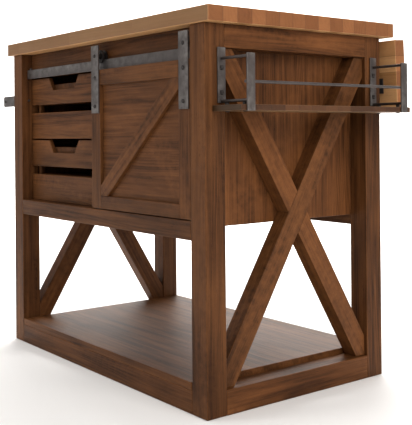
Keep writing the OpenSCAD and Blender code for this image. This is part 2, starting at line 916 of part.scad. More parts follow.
// The screws that hold the plank under the low rods, each with a washer above the plank
module rack_plank_screws(r, heads) {
  top = rack_rod_low - rack_rod_r;
  for (y = rack_ys, x = [rack_in + 18, rack_out - 18]) union() {
    translate([x, y, plank_z - (heads ? 2.5 : 1)]) cylinder(r = r, h = top - plank_z + (heads ? 2.5 : 1));
    if (heads) {
      translate([x, y, plank_z - 2.5]) cylinder(r = 5, h = 2.5);
      translate([x, y, plank_z + plank_t]) cylinder(r = 5, h = top - plank_z - plank_t);
    }
  }
}

module rack_screws() {
  color(STEEL_DARK) place() {
    for (y = rack_ys, z = [rack_strap_z + 23, rack_strap_z + 78]) union() {
      rod_x([rack_in, y, z], rack_screw_r, 2.5);
      rod_x([frame_w, y, z], 2.5, rack_bar_t + 1);
    }
    rack_plank_screws(2.5, true);
  }
}

tabletop();
drop_leaf();
post_front_left();
post_front_right();
post_rear_left();
post_rear_right();
apron_front();
top_rail_back();
top_rails_side();
mid_rail_front();
mid_rail_back();
bottom_rails_long();
bottom_rails_side();
bottom_shelf();
brace_left();
brace_right();
side_panel_left();
side_panel_right();
back_panel();
cabinet_floor();
centre_divider();
crate_runners();
inner_shelf();
shelf_pins();
door_stiles();
door_rails();
door_panel();
door_diagonal();
hanger_straps();
strap_bolts();
roller_axles();
roller_left();
roller_right();
track_bar();
track_bolts();
door_guide();
crate_lower_front();
crate_lower_slats();
crate_lower_corners();
crate_lower_bottom();
crate_upper_front();
crate_upper_slats();
crate_upper_corners();
crate_upper_bottom();
leaf_hinges_fixed();
leaf_hinges_moving();
leaf_lugs();
strut_left();
strut_right();
wall_plates();
catch_left();
catch_right();
towel_brackets();
towel_rod();
towel_bolts();
rack_straps();
rack_bars();
rack_rods();
rack_plank();
rack_screws();
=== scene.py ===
"""Kitchen island cart: detailed timber, butcher-block and steel surfaces over the CAD frame."""
import json
import math

import bpy
import numpy as np
from bpy.props import FloatProperty, FloatVectorProperty, IntProperty, PointerProperty
from bpy.types import Operator, Panel, PropertyGroup
from mathutils import Matrix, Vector
from mathutils.geometry import tessellate_polygon


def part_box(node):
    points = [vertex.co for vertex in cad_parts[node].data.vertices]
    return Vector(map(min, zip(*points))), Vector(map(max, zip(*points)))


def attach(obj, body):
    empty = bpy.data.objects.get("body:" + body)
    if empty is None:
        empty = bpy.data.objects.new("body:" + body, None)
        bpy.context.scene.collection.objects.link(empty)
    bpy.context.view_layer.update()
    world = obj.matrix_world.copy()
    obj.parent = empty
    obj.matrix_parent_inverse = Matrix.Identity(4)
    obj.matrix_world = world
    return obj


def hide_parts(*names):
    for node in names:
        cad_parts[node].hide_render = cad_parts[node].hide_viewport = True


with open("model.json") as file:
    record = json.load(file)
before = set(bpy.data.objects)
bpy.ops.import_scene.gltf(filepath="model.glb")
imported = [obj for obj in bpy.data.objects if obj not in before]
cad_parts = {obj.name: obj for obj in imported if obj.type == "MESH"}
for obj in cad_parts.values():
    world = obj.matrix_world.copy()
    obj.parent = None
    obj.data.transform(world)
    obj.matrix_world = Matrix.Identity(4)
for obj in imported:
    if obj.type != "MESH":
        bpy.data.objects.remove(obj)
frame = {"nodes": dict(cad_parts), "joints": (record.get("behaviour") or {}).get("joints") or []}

bl_info = {
    "name": "Kitchen Island Cart",
    "version": (1, 0, 0),
    "blender": (4, 5, 0),
    "location": "View3D > Sidebar > Island Cart",
    "description": "Builds the detailed surfaces of a kitchen island cart",
    "category": "Object",
}

X, Y, Z = np.eye(3)
MM = 0.001

# Sizes that the boxes of the CAD pieces don't give
BRACE_W = 52 * MM
DIAGONAL_W = 42 * MM
HAND_W = 178 * MM
HAND_SLOPE = 25 * MM
HAND_D = 37 * MM
TRACK_H = 26.5 * MM
LEAF_LEN = 186 * MM
LEAF_GAP = 2 * MM
LEAF_TURN = math.radians(87)
KNUCKLE_R = 4 * MM
PLATE_T = 2 * MM
STRUT_OUT = 120 * MM
HINGE_LEN = 64 * MM
WEB = 3 * MM
LUG_DROP = 8 * MM
BRACKET_T = 4 * MM

# The part's material slot for each material
# The darker walnut copy is painted shade for the apron under the top and the parts inside the cabinet and
# crates
SLOTS = {"Walnut": "walnut", "Walnut Inner": "walnut_inner", "Butcher Block": "butcher_block",
         "Plank Block": "butcher_block", "Gunmetal": "gunmetal", "Black Steel": "black_steel"}

# The studio: where the camera stands, which way it looks and leans, and its lens
CAMERA_AT = (1.9516, -1.4478, 0.6318)
CAMERA_YAW = math.radians(52.39)
CAMERA_ROLL = math.radians(-0.47)
CAMERA_LENS = 71.4
CAMERA_SHIFT = (-0.003, -0.1856)
# Name, azimuth in degrees, distance, height, size and power of each area light
LIGHTS = (("Key", -25, 3.4, 2.8, 2.0, 42), ("Side", 82, 3.6, 2.0, 2.6, 95),
          ("Back", 200, 3.6, 3.0, 3.0, 60), ("Wash", 52, -4.2, 4.2, 4.0, 520))


# ---------------------------------------------------------------- reading the CAD pieces

def solids(node):
    """The boxes of a CAD node's separate solids, found by spreading the lowest vertex number
    over each connected set of triangles until nothing changes."""
    mesh = frame["nodes"][node].data
    co = np.empty(len(mesh.vertices) * 3)
    mesh.vertices.foreach_get("co", co)
    co = co.reshape(-1, 3)
    mesh.calc_loop_triangles()
    tri = np.empty(len(mesh.loop_triangles) * 3, int)
    mesh.loop_triangles.foreach_get("vertices", tri)
    _, same = np.unique(np.round(co, 6), axis=0, return_inverse=True)
    same = same.ravel()
    tri = same[tri].reshape(-1, 3)
    label = np.arange(same.max() + 1)
    while True:
        low = label[tri].min(axis=1)
        new = label.copy()
        for k in range(3):
            np.minimum.at(new, tri[:, k], low)
        new = new[new]
        if (new == label).all():
            break
        label = new
    owner = label[same]
    boxes = [(co[owner == k].min(axis=0), co[owner == k].max(axis=0)) for k in np.unique(owner)]
    return sorted(boxes, key=lambda b: tuple(np.round(b[0], 4)))


def box(node):
    """The lowest and highest corner of a CAD node as arrays."""
    low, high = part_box(node)
    return np.array(low), np.array(high)


def joint_place(name):
    """The pivot of a joint in the row frame."""
    return np.array(next(j for j in frame["joints"] if j["name"] == name)["pos_m"])


# ---------------------------------------------------------------- surfaces

class Shape:
    """Collects surfaces into one mesh, with a grain position, a board number and an edge mask
    on every vertex and an exact normal on every corner."""

    def __init__(self):
        self.co, self.faces, self.normals = [], [], []
        self.grain, self.board, self.edge, self.end = [], [], [], []
        self.count = 0

    def add(self, co, faces, normals, grain, board, edge, along):
        """Adds vertices, faces as lists of vertex numbers, and one normal per face corner."""
        n = len(co)
        self.faces += [[i + self.count for i in f] for f in faces]
        self.co.append(co)
        self.normals.append(normals)
        self.end.append(np.abs(normals @ along))
        self.grain.append(grain)
        self.board.append(np.full(n, float(board)))
        self.edge.append(np.broadcast_to(edge, (n,)))
        self.count += n


def unit(v):
    return v / np.linalg.norm(v)


def clip(poly, point, normal):
    """The part of a convex outline on the side of a line that its normal points away from."""
    out = []
    for a, b in zip(poly, np.roll(poly, -1, axis=0)):
        da, db = np.dot(a - point, normal), np.dot(b - point, normal)
        if da <= 0:
            out.append(a)
        if da * db < 0:
            out.append(a + (b - a) * da / (da - db))
    return np.array(out)


def ring_points(poly, r, arc, step):
    """Corner centres, outward normals and mitre flags of an outline whose corners are rounded.
    A convex corner becomes an arc of radius r around a point r inside both edges; a hollow
    corner stays one mitred point. Long edges are divided about every step."""
    n = len(poly)
    edge = np.roll(poly, -1, axis=0) - poly
    normal = np.stack([edge[:, 1], -edge[:, 0]], axis=1)
    normal /= np.linalg.norm(normal, axis=1, keepdims=True)
    centre, out = [], []
    for i in range(n):
        n0, n1 = normal[i - 1], normal[i]
        mitre = -(n0 + n1) / (1 + n0 @ n1)
        middle = poly[i] + mitre * r
        if n0[0] * n1[1] - n0[1] * n1[0] > 0:
            a0 = math.atan2(n0[1], n0[0])
            turn = (math.atan2(n1[1], n1[0]) - a0) % (2 * math.pi)
            a = a0 + turn * np.linspace(0, 1, arc + 1)
            centre.append(np.repeat([middle], arc + 1, axis=0))
            out.append(np.stack([np.cos(a), np.sin(a)], axis=1))
        else:
            centre.append([middle])
            out.append([-mitre])
        nxt = poly[(i + 1) % n]
        n2 = normal[(i + 1) % n]
        end = nxt - (n1 + n2) / (1 + n1 @ n2) * r
        length = np.linalg.norm(end - middle)
        cuts = int(length // step)
        if cuts > 0:
            t = np.linspace(0, 1, cuts + 2)[1:-1, None]
            centre.append(middle + (end - middle) * t)
            out.append(np.repeat([n1], cuts, axis=0))
    return np.concatenate(centre), np.concatenate(out)


def cap_triangles(outline, order):
    """Fills an outline that turns inwards with triangles that wind the way order does."""
    flat = np.concatenate([outline, np.zeros((len(outline), 1))], axis=1)
    tri = np.array(tessellate_polygon([flat.tolist()]))
    a, b, c = outline[tri[:, 0]], outline[tri[:, 1]], outline[tri[:, 2]]
    area = (b - a)[:, 0] * (c - a)[:, 1] - (b - a)[:, 1] * (c - a)[:, 0]
    x, y = outline[order].T
    way = np.sum(x * np.roll(y, -1) - y * np.roll(x, -1))
    return np.where((area * way > 0)[:, None], tri, tri[:, ::-1])


def prism(shape, poly, depth, place, r=0.0015, board=0, along=(1, 0), arc=3, step=0.03, wear=0.0):
    """A board of any outline: the outline in the plane of the first two axes of place, carried
    along the third, with every edge rounded to radius r. Each level of the edge is the outline
    drawn in by r times one minus the cosine of the level's angle; wear draws the sides in by a
    slow sum of sines along the outline as well, as handled timber is."""
    origin, U, V, W = place
    poly = np.asarray(poly, float)
    area = np.dot(poly[:, 0], np.roll(poly[:, 1], -1)) - np.dot(poly[:, 1], np.roll(poly[:, 0], -1))
    if area < 0:
        poly = poly[::-1]
    r = min(r, 0.45 * depth)
    centre, out = ring_points(poly, r, arc, step)
    m = len(centre)
    top = np.linspace(0, math.radians(88), arc + 1)
    angle = np.concatenate([-top[::-1], top])
    level = np.where(np.arange(2 * arc + 2) <= arc, r + r * np.sin(angle), depth - r + r * np.sin(angle))
    t = centre[:, 0] * 31 + centre[:, 1] * 47 + board * 1.7
    dip = np.clip(wear / r, 0, 0.6) * (0.5 + 0.25 * np.sin(t) + 0.25 * np.sin(2.3 * t + 1.1))
    flat = centre[None] + out[None] * (r * np.cos(angle)[:, None] * (1 - dip))[..., None]
    rows = 2 * arc + 2
    w = np.broadcast_to(level[:, None], (rows, m))
    co = origin + flat[..., :1] * U + flat[..., 1:] * V + w[..., None] * W
    nrm = (out[None, :, :1] * U + out[None, :, 1:] * V) * np.cos(angle)[:, None, None]
    nrm = nrm + np.sin(angle)[:, None, None] * W
    c, s = along
    g = np.stack([flat[..., 0] * c + flat[..., 1] * s, -flat[..., 0] * s + flat[..., 1] * c, w], axis=-1)
    handed = np.dot(np.cross(U, V), W) > 0
    k = np.arange(m)
    k1 = (k + 1) % m
    quads = []
    for j in range(rows - 1):
        a, b = j * m, (j + 1) * m
        quads.append(np.stack([a + k, a + k1, b + k1, b + k], axis=1))
    quads = np.concatenate(quads)
    low = np.arange(m)[::-1]
    high = (rows - 1) * m + np.arange(m)
    if not handed:
        quads, low, high = quads[:, ::-1], low[::-1], high[::-1]
    nrm = np.where((np.abs(angle) > 1.5)[:, None, None], np.sign(angle)[:, None, None] * W, nrm)
    nrm = nrm.reshape(-1, 3)
    edge = np.roll(poly, -1, axis=0) - poly
    turn = edge[:, 0] * np.roll(edge[:, 1], -1) - edge[:, 1] * np.roll(edge[:, 0], -1)
    if (turn < -1e-12).any():
        last = (rows - 1) * m
        low, high = cap_triangles(flat[0], low), last + cap_triangles(flat[-1], high - last)
    else:
        low, high = low[None], high[None]
    normals = np.concatenate([nrm[quads.ravel()], np.repeat([-W], low.size, axis=0),
                              np.repeat([W], high.size, axis=0)])
    worn = np.repeat(np.where((np.abs(angle) > 0.3) & (np.abs(angle) < 1.3), 1.0, 0.0), m)
    rounded = np.tile(np.where(np.abs(out).max(axis=1) < 0.995, 1.0, 0.0), rows)
    shape.add(co.reshape(-1, 3), quads.tolist() + low.tolist() + high.tolist(), normals,
              g.reshape(-1, 3), board, np.maximum(worn, rounded), U * c + V * s)


def rectangle(length, width):
    return [(0, 0), (length, 0), (length, width), (0, width)]


def half_round(start, r):
    """Half a circle of radius r about the origin, from the angle start."""
    a = np.linspace(start, start + math.pi, 13)
    return np.stack([np.cos(a), np.sin(a)], axis=1) * r


def block(shape, low, high, r=0.0015, board=0, grain=None, wear=0.0, arc=3, step=0.03):
    """A rounded board that fills a box, with its grain along the longest side unless grain
    names an axis."""
    low, high = np.asarray(low, float), np.asarray(high, float)
    size = high - low
    a = int(np.argmax(size)) if grain is None else grain
    others = [i for i in range(3) if i != a]
    b, c = sorted(others, key=lambda i: -size[i])
    E = np.eye(3)
    L, B = size[a], size[b]
    prism(shape, rectangle(L, B), size[c], (low, E[a], E[b], E[c]), r, board, arc=arc, step=step, wear=wear)


def turned(shape, at, axis, profile, board=0, n=32):
    """A turned piece: a profile of distance along the axis and radius, carried around the axis.
    Each stretch of the profile has its own slope, so its corners stay crisp."""
    axis = np.asarray(axis, float)
    side = X if abs(axis[0]) < 0.5 else Y
    U = unit(side - axis * (side @ axis))
    V = np.cross(axis, U)
    profile = np.asarray(profile, float)
    t = np.arange(n) * 2 * math.pi / n
    spoke = np.cos(t)[:, None] * U + np.sin(t)[:, None] * V
    ring = at + profile[:, :1, None].transpose(0, 2, 1) * axis + profile[:, 1][:, None, None] * spoke[None]
    d = np.diff(profile, axis=0)
    d = d / np.linalg.norm(d, axis=1, keepdims=True)
    k = np.arange(n)
    k1 = (k + 1) % n
    faces, normals = [], []
    for j in range(len(profile) - 1):
        q = np.stack([j * n + k, j * n + k1, (j + 1) * n + k1, (j + 1) * n + k], axis=1)
        nr = d[j, 0] * spoke - d[j, 1] * axis
        faces.append(q)
        normals.append(np.stack([nr[k], nr[k1], nr[k1], nr[k]], axis=1).reshape(-1, 3))
    faces = np.concatenate(faces)
    last = (len(profile) - 1) * n
    caps = [np.arange(n)[::-1].tolist(), (last + np.arange(n)).tolist()]
    ends = np.repeat([-axis, axis], n, axis=0)
    co = ring.reshape(-1, 3)
    grain = np.stack([np.repeat(profile[:, 0], n), np.tile(t / 6.2832, len(profile)) * 0.05,
                      np.repeat(profile[:, 1], n)], axis=1)
    shape.add(co, faces.tolist() + caps, np.concatenate(normals + [ends]), grain, board, 0.0, axis)


def rod(shape, start, end, r, board=0, n=24):
    """A round bar with a small chamfer at each end."""
    start, end = np.asarray(start, float), np.asarray(end, float)
    length = np.linalg.norm(end - start)
    c = min(0.12 * r, 0.2 * length)
    turned(shape, start, unit(end - start),
           [(0, r - c), (c, r), (length - c, r), (length, r - c)], board, n)


def dome(shape, at, axis, r, height, board=0):
    """A domed bolt head from its seat outwards, with a narrow flat on top."""
    a = np.linspace(0, 1.35, 7)
    profile = [(0, r)] + [(height * (0.2 + 0.8 * math.sin(x) / math.sin(1.35)), r * math.cos(x)) for x in a]
    turned(shape, np.asarray(at, float), axis, profile, board)


def finish_mesh(shape, material, body, *nodes):
    """Turns a shape into one object that stands for its CAD nodes and moves with their body."""
    name, slot_name = nodes[0] + "_detail", SLOTS[material]
    mesh = bpy.data.meshes.new(name)
    mesh.from_pydata(np.concatenate(shape.co).tolist(), [], shape.faces)
    for key, kind, data in (("grain", "FLOAT_VECTOR", shape.grain), ("board", "FLOAT", shape.board),
                            ("edge", "FLOAT", shape.edge)):
        attribute = mesh.attributes.new(key, kind, "POINT")
        attribute.data.foreach_set("vector" if kind == "FLOAT_VECTOR" else "value",
                                   np.concatenate(data).astype(np.float32).ravel())
    end = mesh.attributes.new("end", "FLOAT", "CORNER")
    end.data.foreach_set("value", np.concatenate(shape.end).astype(np.float32))
    mesh.shade_smooth()
    mesh.normals_split_custom_set(np.concatenate(shape.normals).tolist())
    mesh.materials.append(bpy.data.materials[material])
    obj = bpy.data.objects.new(name, mesh)
    bpy.context.scene.collection.objects.link(obj)
    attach(obj, body)
    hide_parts(*nodes)
    return obj


# ---------------------------------------------------------------- node helpers

def socket_value(node, key, value):
    if isinstance(value, bpy.types.NodeSocket):
        node.id_data.links.new(value, node.inputs[key])
    else:
        node.inputs[key].default_value = value


def add(tree, kind, inputs=None, **settings):
    node = tree.nodes.new(kind)
    for key, value in settings.items():
        setattr(node, key, value)
    for key, value in (inputs or {}).items():
        socket_value(node, key, value)
    return node


def math_node(tree, op, a, b=0.0, c=0.0, clamp=False):
    node = add(tree, "ShaderNodeMath", {0: a, 1: b, 2: c}, operation=op, use_clamp=clamp)
    return node.outputs[0]


def times(tree, a, b):
    return math_node(tree, "MULTIPLY", a, b)


def plus(tree, a, b):
    return math_node(tree, "ADD", a, b)


def less(tree, a, b):
    return math_node(tree, "SUBTRACT", a, b)


def ramp(tree, value, low, high, to_low=0.0, to_high=1.0):
    node = add(tree, "ShaderNodeMapRange", {"Value": value, "From Min": low, "From Max": high,
                                            "To Min": to_low, "To Max": to_high})
    return node.outputs[0]


def noise(tree, vector, scale, detail=3.0, rough=0.55, distortion=0.0):
    node = add(tree, "ShaderNodeTexNoise", {"Vector": vector, "Scale": scale, "Detail": detail,
                                            "Roughness": rough, "Distortion": distortion})
    return node.outputs["Fac"]


def scaled(tree, vector, by, plus=(0.0, 0.0, 0.0)):
    node = add(tree, "ShaderNodeVectorMath", {0: vector, 1: by, 2: plus}, operation="MULTIPLY_ADD")
    return node.outputs[0]


def mixed(tree, fac, a, b, blend="MIX"):
    node = add(tree, "ShaderNodeMix", data_type="RGBA", blend_type=blend)
    socket_value(node, "Factor", fac)
    socket_value(node, 6, a)
    socket_value(node, 7, b)
    return node.outputs[2]


def new_group(name, inputs, outputs):
    tree = bpy.data.node_groups.new(name, "ShaderNodeTree")
    for key, kind, default in inputs:
        socket = tree.interface.new_socket(name=key, in_out="INPUT", socket_type="NodeSocket" + kind)
        if default is not None:
            socket.default_value = default
    for key, kind in outputs:
        tree.interface.new_socket(name=key, in_out="OUTPUT", socket_type="NodeSocket" + kind)
    return tree, tree.nodes.new("NodeGroupInput").outputs, tree.nodes.new("NodeGroupOutput").inputs


def figure_group():
    """Solid timber: growth rings round a distant heart, long fibres and short pores."""
    tree, i, o = new_group("Timber Figure", [("Vector", "Vector", None), ("Board", "Float", 0.0),
                                             ("Ring Scale", "Float", 60.0)],
                           [("Rings", "Float"), ("Fibre", "Float"), ("Pores", "Float"),
                            ("Cloud", "Float"), ("Streak", "Float"), ("Pits", "Float"), ("Height", "Float")])
    hash_node = add(tree, "ShaderNodeTexWhiteNoise", {"W": i["Board"]}, noise_dimensions="1D")
    shift = scaled(tree, hash_node.outputs["Color"], (2.0, 0.5, 0.5), (0.3, 0.02, 0.03))
    moved = add(tree, "ShaderNodeVectorMath", {0: i["Vector"], 1: shift}, operation="ADD").outputs[0]
    long = scaled(tree, moved, (0.11, 1.0, 1.0))
    bend = noise(tree, long, 9.0, 2.0, 0.5)
    heart = add(tree, "ShaderNodeVectorMath", {0: i["Vector"], 1: scaled(
        tree, hash_node.outputs["Color"], (0.0, 0.12, 0.1), (0.0, 0.015, 0.03))}, operation="ADD").outputs[0]
    flat = scaled(tree, heart, (0.035, 1.0, 1.0))
    radius = add(tree, "ShaderNodeVectorMath", {0: flat}, operation="LENGTH").outputs["Value"]
    phase = times(tree, plus(tree, radius, times(tree, bend, 0.11)),
                      i["Ring Scale"])
    saw = math_node(tree, "FRACT", phase)
    rings = times(tree, math_node(tree, "POWER", saw, 2.0), ramp(tree, saw, 1.0, 0.72))
    rings = times(tree, rings, ramp(tree, noise(tree, long, 40.0, 2.0), 0.35, 0.7))
    fibre = noise(tree, scaled(tree, moved, (0.018, 1.0, 1.0)), 420.0, 4.0, 0.65)
    pore = noise(tree, scaled(tree, moved, (0.045, 1.0, 1.0)), 900.0, 2.0, 0.5)
    pores = ramp(tree, pore, 0.62, 0.72)
    cloud = noise(tree, scaled(tree, moved, (0.3, 1.0, 1.0)), 12.0, 4.0, 0.55)
    streak = noise(tree, scaled(tree, moved, (0.035, 1.0, 1.0)), 85.0, 4.0, 0.6, 0.3)
    spot = add(tree, "ShaderNodeTexVoronoi", {"Vector": scaled(tree, moved, (0.3, 1.0, 1.0)), "Scale": 160.0,
                                              "Randomness": 1.0}, feature="F1")
    dot = ramp(tree, spot.outputs["Distance"], 0.22, 0.1)
    where = ramp(tree, noise(tree, scaled(tree, moved, (0.2, 1.0, 1.0)), 30.0, 2.0), 0.55, 0.68)
    pits = times(tree, dot, where)
    height = less(tree, times(tree, fibre, 0.5),
                       times(tree, pores, 0.55))
    height = plus(tree, height, times(tree, rings, 0.3))
    height = less(tree, height, times(tree, pits, 0.6))
    for key, value in (("Rings", rings), ("Fibre", fibre), ("Pores", pores), ("Cloud", cloud),
                       ("Streak", streak), ("Pits", pits), ("Height", height)):
        tree.links.new(value, o[key])
    return tree


def stave_group():
    """Glued staves: rows of a set width, cut into lengths that start at a different place in
    each row, with a number for each stave and a mask of the glue lines."""
    tree, i, o = new_group("Glued Staves", [("Vector", "Vector", None), ("Width", "Float", 0.042),
                                            ("Length", "Float", 0.32)],
                           [("Stave", "Float"), ("Tone", "Float"), ("Joint", "Float")])
    xyz = add(tree, "ShaderNodeSeparateXYZ", {0: i["Vector"]}).outputs
    v = math_node(tree, "DIVIDE", xyz[1], i["Width"])
    row = math_node(tree, "FLOOR", v)
    offset = add(tree, "ShaderNodeTexWhiteNoise", {"W": row}, noise_dimensions="1D").outputs["Value"]
    u = plus(tree, math_node(tree, "DIVIDE", xyz[0], i["Length"]), times(tree, offset, 3.0))
    cell = math_node(tree, "FLOOR", u)
    number = plus(tree, times(tree, row, 7.13), times(tree, cell, 3.37))
    tone = add(tree, "ShaderNodeTexWhiteNoise", {"W": number}, noise_dimensions="1D").outputs["Value"]
    dv = times(tree, math_node(tree, "ABSOLUTE", less(tree, math_node(
        tree, "FRACT", plus(tree, v, 0.5)), 0.5)), i["Width"])
    du = times(tree, math_node(tree, "ABSOLUTE", less(tree, math_node(
        tree, "FRACT", plus(tree, u, 0.5)), 0.5)), i["Length"])
    near = math_node(tree, "MINIMUM", du, dv)
    joint = ramp(tree, near, 0.0007, 0.0002)
    for key, value in (("Stave", number), ("Tone", tone), ("Joint", joint)):
        tree.links.new(value, o[key])
    return tree


def wear_group():
    """Handling: a mask that is strong on rounded edges and broken up by noise, and soft grime."""
    tree, i, o = new_group("Handling Wear", [("Position", "Vector", None), ("Edge", "Float", 0.0),
                                             ("Amount", "Float", 0.5)],
                      [("Rubbed", "Float"), ("Grime", "Float")])
    broken = noise(tree, i["Position"], 55.0, 4.0, 0.6)
    rub = times(tree, times(tree, i["Edge"], ramp(tree, broken, 0.35, 0.75)), i["Amount"])
    grime = ramp(tree, noise(tree, i["Position"], 7.0, 5.0, 0.62), 0.4, 0.75)
    tree.links.new(rub, o["Rubbed"])
    tree.links.new(grime, o["Grime"])
    return tree


def new_material(name, colour):
    mat = bpy.data.materials.new(name)
    mat.use_nodes = True
    mat.diffuse_color = (*colour, 1)
    tree = mat.node_tree
    return mat, tree, tree.nodes["Principled BSDF"]


def read(tree, name, output):
    return add(tree, "ShaderNodeAttribute", attribute_name=name).outputs[output]


def group_node(tree, group, inputs):
    node = tree.nodes.new("ShaderNodeGroup")
    node.node_tree = bpy.data.node_groups[group]
    for key, value in inputs.items():
        socket_value(node, key, value)
    return node.outputs


def object_position(tree):
    return add(tree, "ShaderNodeTexCoord").outputs["Object"]


def wear_node(tree, place, settings):
    return group_node(tree, "Handling Wear", {"Position": place, "Edge": read(tree, "edge", "Fac"),
                                              "Amount": settings.wear})


def toned(colour, by):
    """A colour with each channel multiplied."""
    return tuple(c * by for c in colour)


def wood_material(name, dark, light, rubbed, roughness, ring_scale, settings):
    """Stained solid timber: stain taken up more by rings, pores and clouds, rubbed on edges."""
    mat, tree, bsdf = new_material(name, light)
    grain = read(tree, "grain", "Vector")
    board = read(tree, "board", "Fac")
    f = group_node(tree, "Timber Figure", {"Vector": grain, "Board": board, "Ring Scale": ring_scale})
    w = wear_node(tree, object_position(tree), settings)
    tone = plus(tree, times(tree, f["Cloud"], 0.7),
                     times(tree, f["Streak"], 0.75))
    tone = plus(tree, tone, times(tree, f["Fibre"], 0.25))
    tone = less(tree, tone, times(tree, f["Rings"], 0.35))
    tone = ramp(tree, tone, 0.62, 0.98)
    colour = mixed(tree, tone, (*dark, 1), (*light, 1))
    each = add(tree, "ShaderNodeTexWhiteNoise", {"W": board}, noise_dimensions="1D").outputs["Value"]
    colour = mixed(tree, 1.0, colour, add(tree, "ShaderNodeCombineColor", {
        0: ramp(tree, each, 0, 1, 0.86, 1.12), 1: ramp(tree, each, 0, 1, 0.88, 1.1),
        2: ramp(tree, each, 0, 1, 0.9, 1.1)}).outputs[0], "MULTIPLY")
    colour = mixed(tree, times(tree, f["Pores"], 0.55), colour, (*toned(dark, 0.35), 1))
    colour = mixed(tree, times(tree, f["Pits"], 0.7), colour, (*toned(dark, 0.25), 1))
    colour = mixed(tree, times(tree, w["Grime"], 0.16), colour, (*toned(dark, 0.6), 1))
    colour = mixed(tree, w["Rubbed"], colour, (*rubbed, 1))
    tree.links.new(colour, bsdf.inputs["Base Color"])
    rough = ramp(tree, f["Fibre"], 0.2, 0.8, roughness + 0.07, roughness - 0.05)
    tree.links.new(rough, bsdf.inputs["Roughness"])
    bsdf.inputs["Specular IOR Level"].default_value = 0.1
    bump = add(tree, "ShaderNodeBump", {"Height": f["Height"], "Strength": 0.45, "Distance": 0.0006})
    tree.links.new(bump.outputs[0], bsdf.inputs["Normal"])
    return mat


def block_material(name, dark, light, settings):
    """Oiled butcher block: staves of mixed tone, each with its own figure, and fine glue lines."""
    mat, tree, bsdf = new_material(name, light)
    grain = read(tree, "grain", "Vector")
    s = group_node(tree, "Glued Staves", {"Vector": grain, "Width": settings.stave_width,
                                           "Length": settings.stave_length})
    f = group_node(tree, "Timber Figure", {"Vector": grain, "Board": s["Stave"], "Ring Scale": 85.0})
    w = wear_node(tree, object_position(tree), settings)
    tone = plus(tree, times(tree, s["Tone"], 0.6), times(tree, f["Cloud"], 0.4))
    tone = plus(tree, tone, times(tree, f["Fibre"], 0.3))
    tone = less(tree, tone, times(tree, f["Rings"], 0.32))
    colour = mixed(tree, ramp(tree, tone, 0.15, 0.95), (*dark, 1), (*light, 1))
    colour = mixed(tree, times(tree, f["Pores"], 0.35), colour, (*toned(dark, 0.4), 1))
    colour = mixed(tree, times(tree, s["Joint"], 0.75), colour, (*toned(dark, 0.3), 1))
    end = ramp(tree, read(tree, "end", "Fac"), 0.6, 0.9)
    colour = mixed(tree, end, colour, (0.36, 0.25, 0.19, 1), "MULTIPLY")
    colour = mixed(tree, times(tree, w["Grime"], 0.12), colour, (*toned(dark, 0.7), 1))
    tree.links.new(colour, bsdf.inputs["Base Color"])
    tree.links.new(ramp(tree, f["Fibre"], 0.2, 0.8, 0.52, 0.4), bsdf.inputs["Roughness"])
    bsdf.inputs["Specular IOR Level"].default_value = 0.25
    height = less(tree, times(tree, f["Height"], 0.5), s["Joint"])
    bump = add(tree, "ShaderNodeBump", {"Height": height, "Strength": 0.35, "Distance": 0.0005})
    tree.links.new(bump.outputs[0], bsdf.inputs["Normal"])
    return mat


def steel_material(name, base, bright, metallic, roughness, settings):
    """Rolled steel with a dark patina: fine drawn lines, soft mottling and rubbed edges."""
    mat, tree, bsdf = new_material(name, base)
    place = object_position(tree)
    grain = read(tree, "grain", "Vector")
    w = wear_node(tree, place, settings)
    lines = noise(tree, scaled(tree, grain, (0.03, 1.0, 1.0)), 900.0, 3.0, 0.6)
    mottle = noise(tree, place, 42.0, 5.0, 0.62)
    tone = plus(tree, times(tree, lines, 0.35), times(tree, mottle, 0.65))
    colour = mixed(tree, ramp(tree, tone, 0.3, 0.7), (*toned(base, 0.72), 1), (*toned(base, 1.28), 1))
    colour = mixed(tree, w["Rubbed"], colour, (*bright, 1))
    tree.links.new(colour, bsdf.inputs["Base Color"])
    bsdf.inputs["Metallic"].default_value = metallic
    tree.links.new(ramp(tree, tone, 0.3, 0.7, roughness + 0.1, roughness - 0.08), bsdf.inputs["Roughness"])
    height = plus(tree, times(tree, lines, 0.4), mottle)
    bump = add(tree, "ShaderNodeBump", {"Height": height, "Strength": 0.18, "Distance": 0.0004})
    tree.links.new(bump.outputs[0], bsdf.inputs["Normal"])
    return mat


# ---------------------------------------------------------------- settings

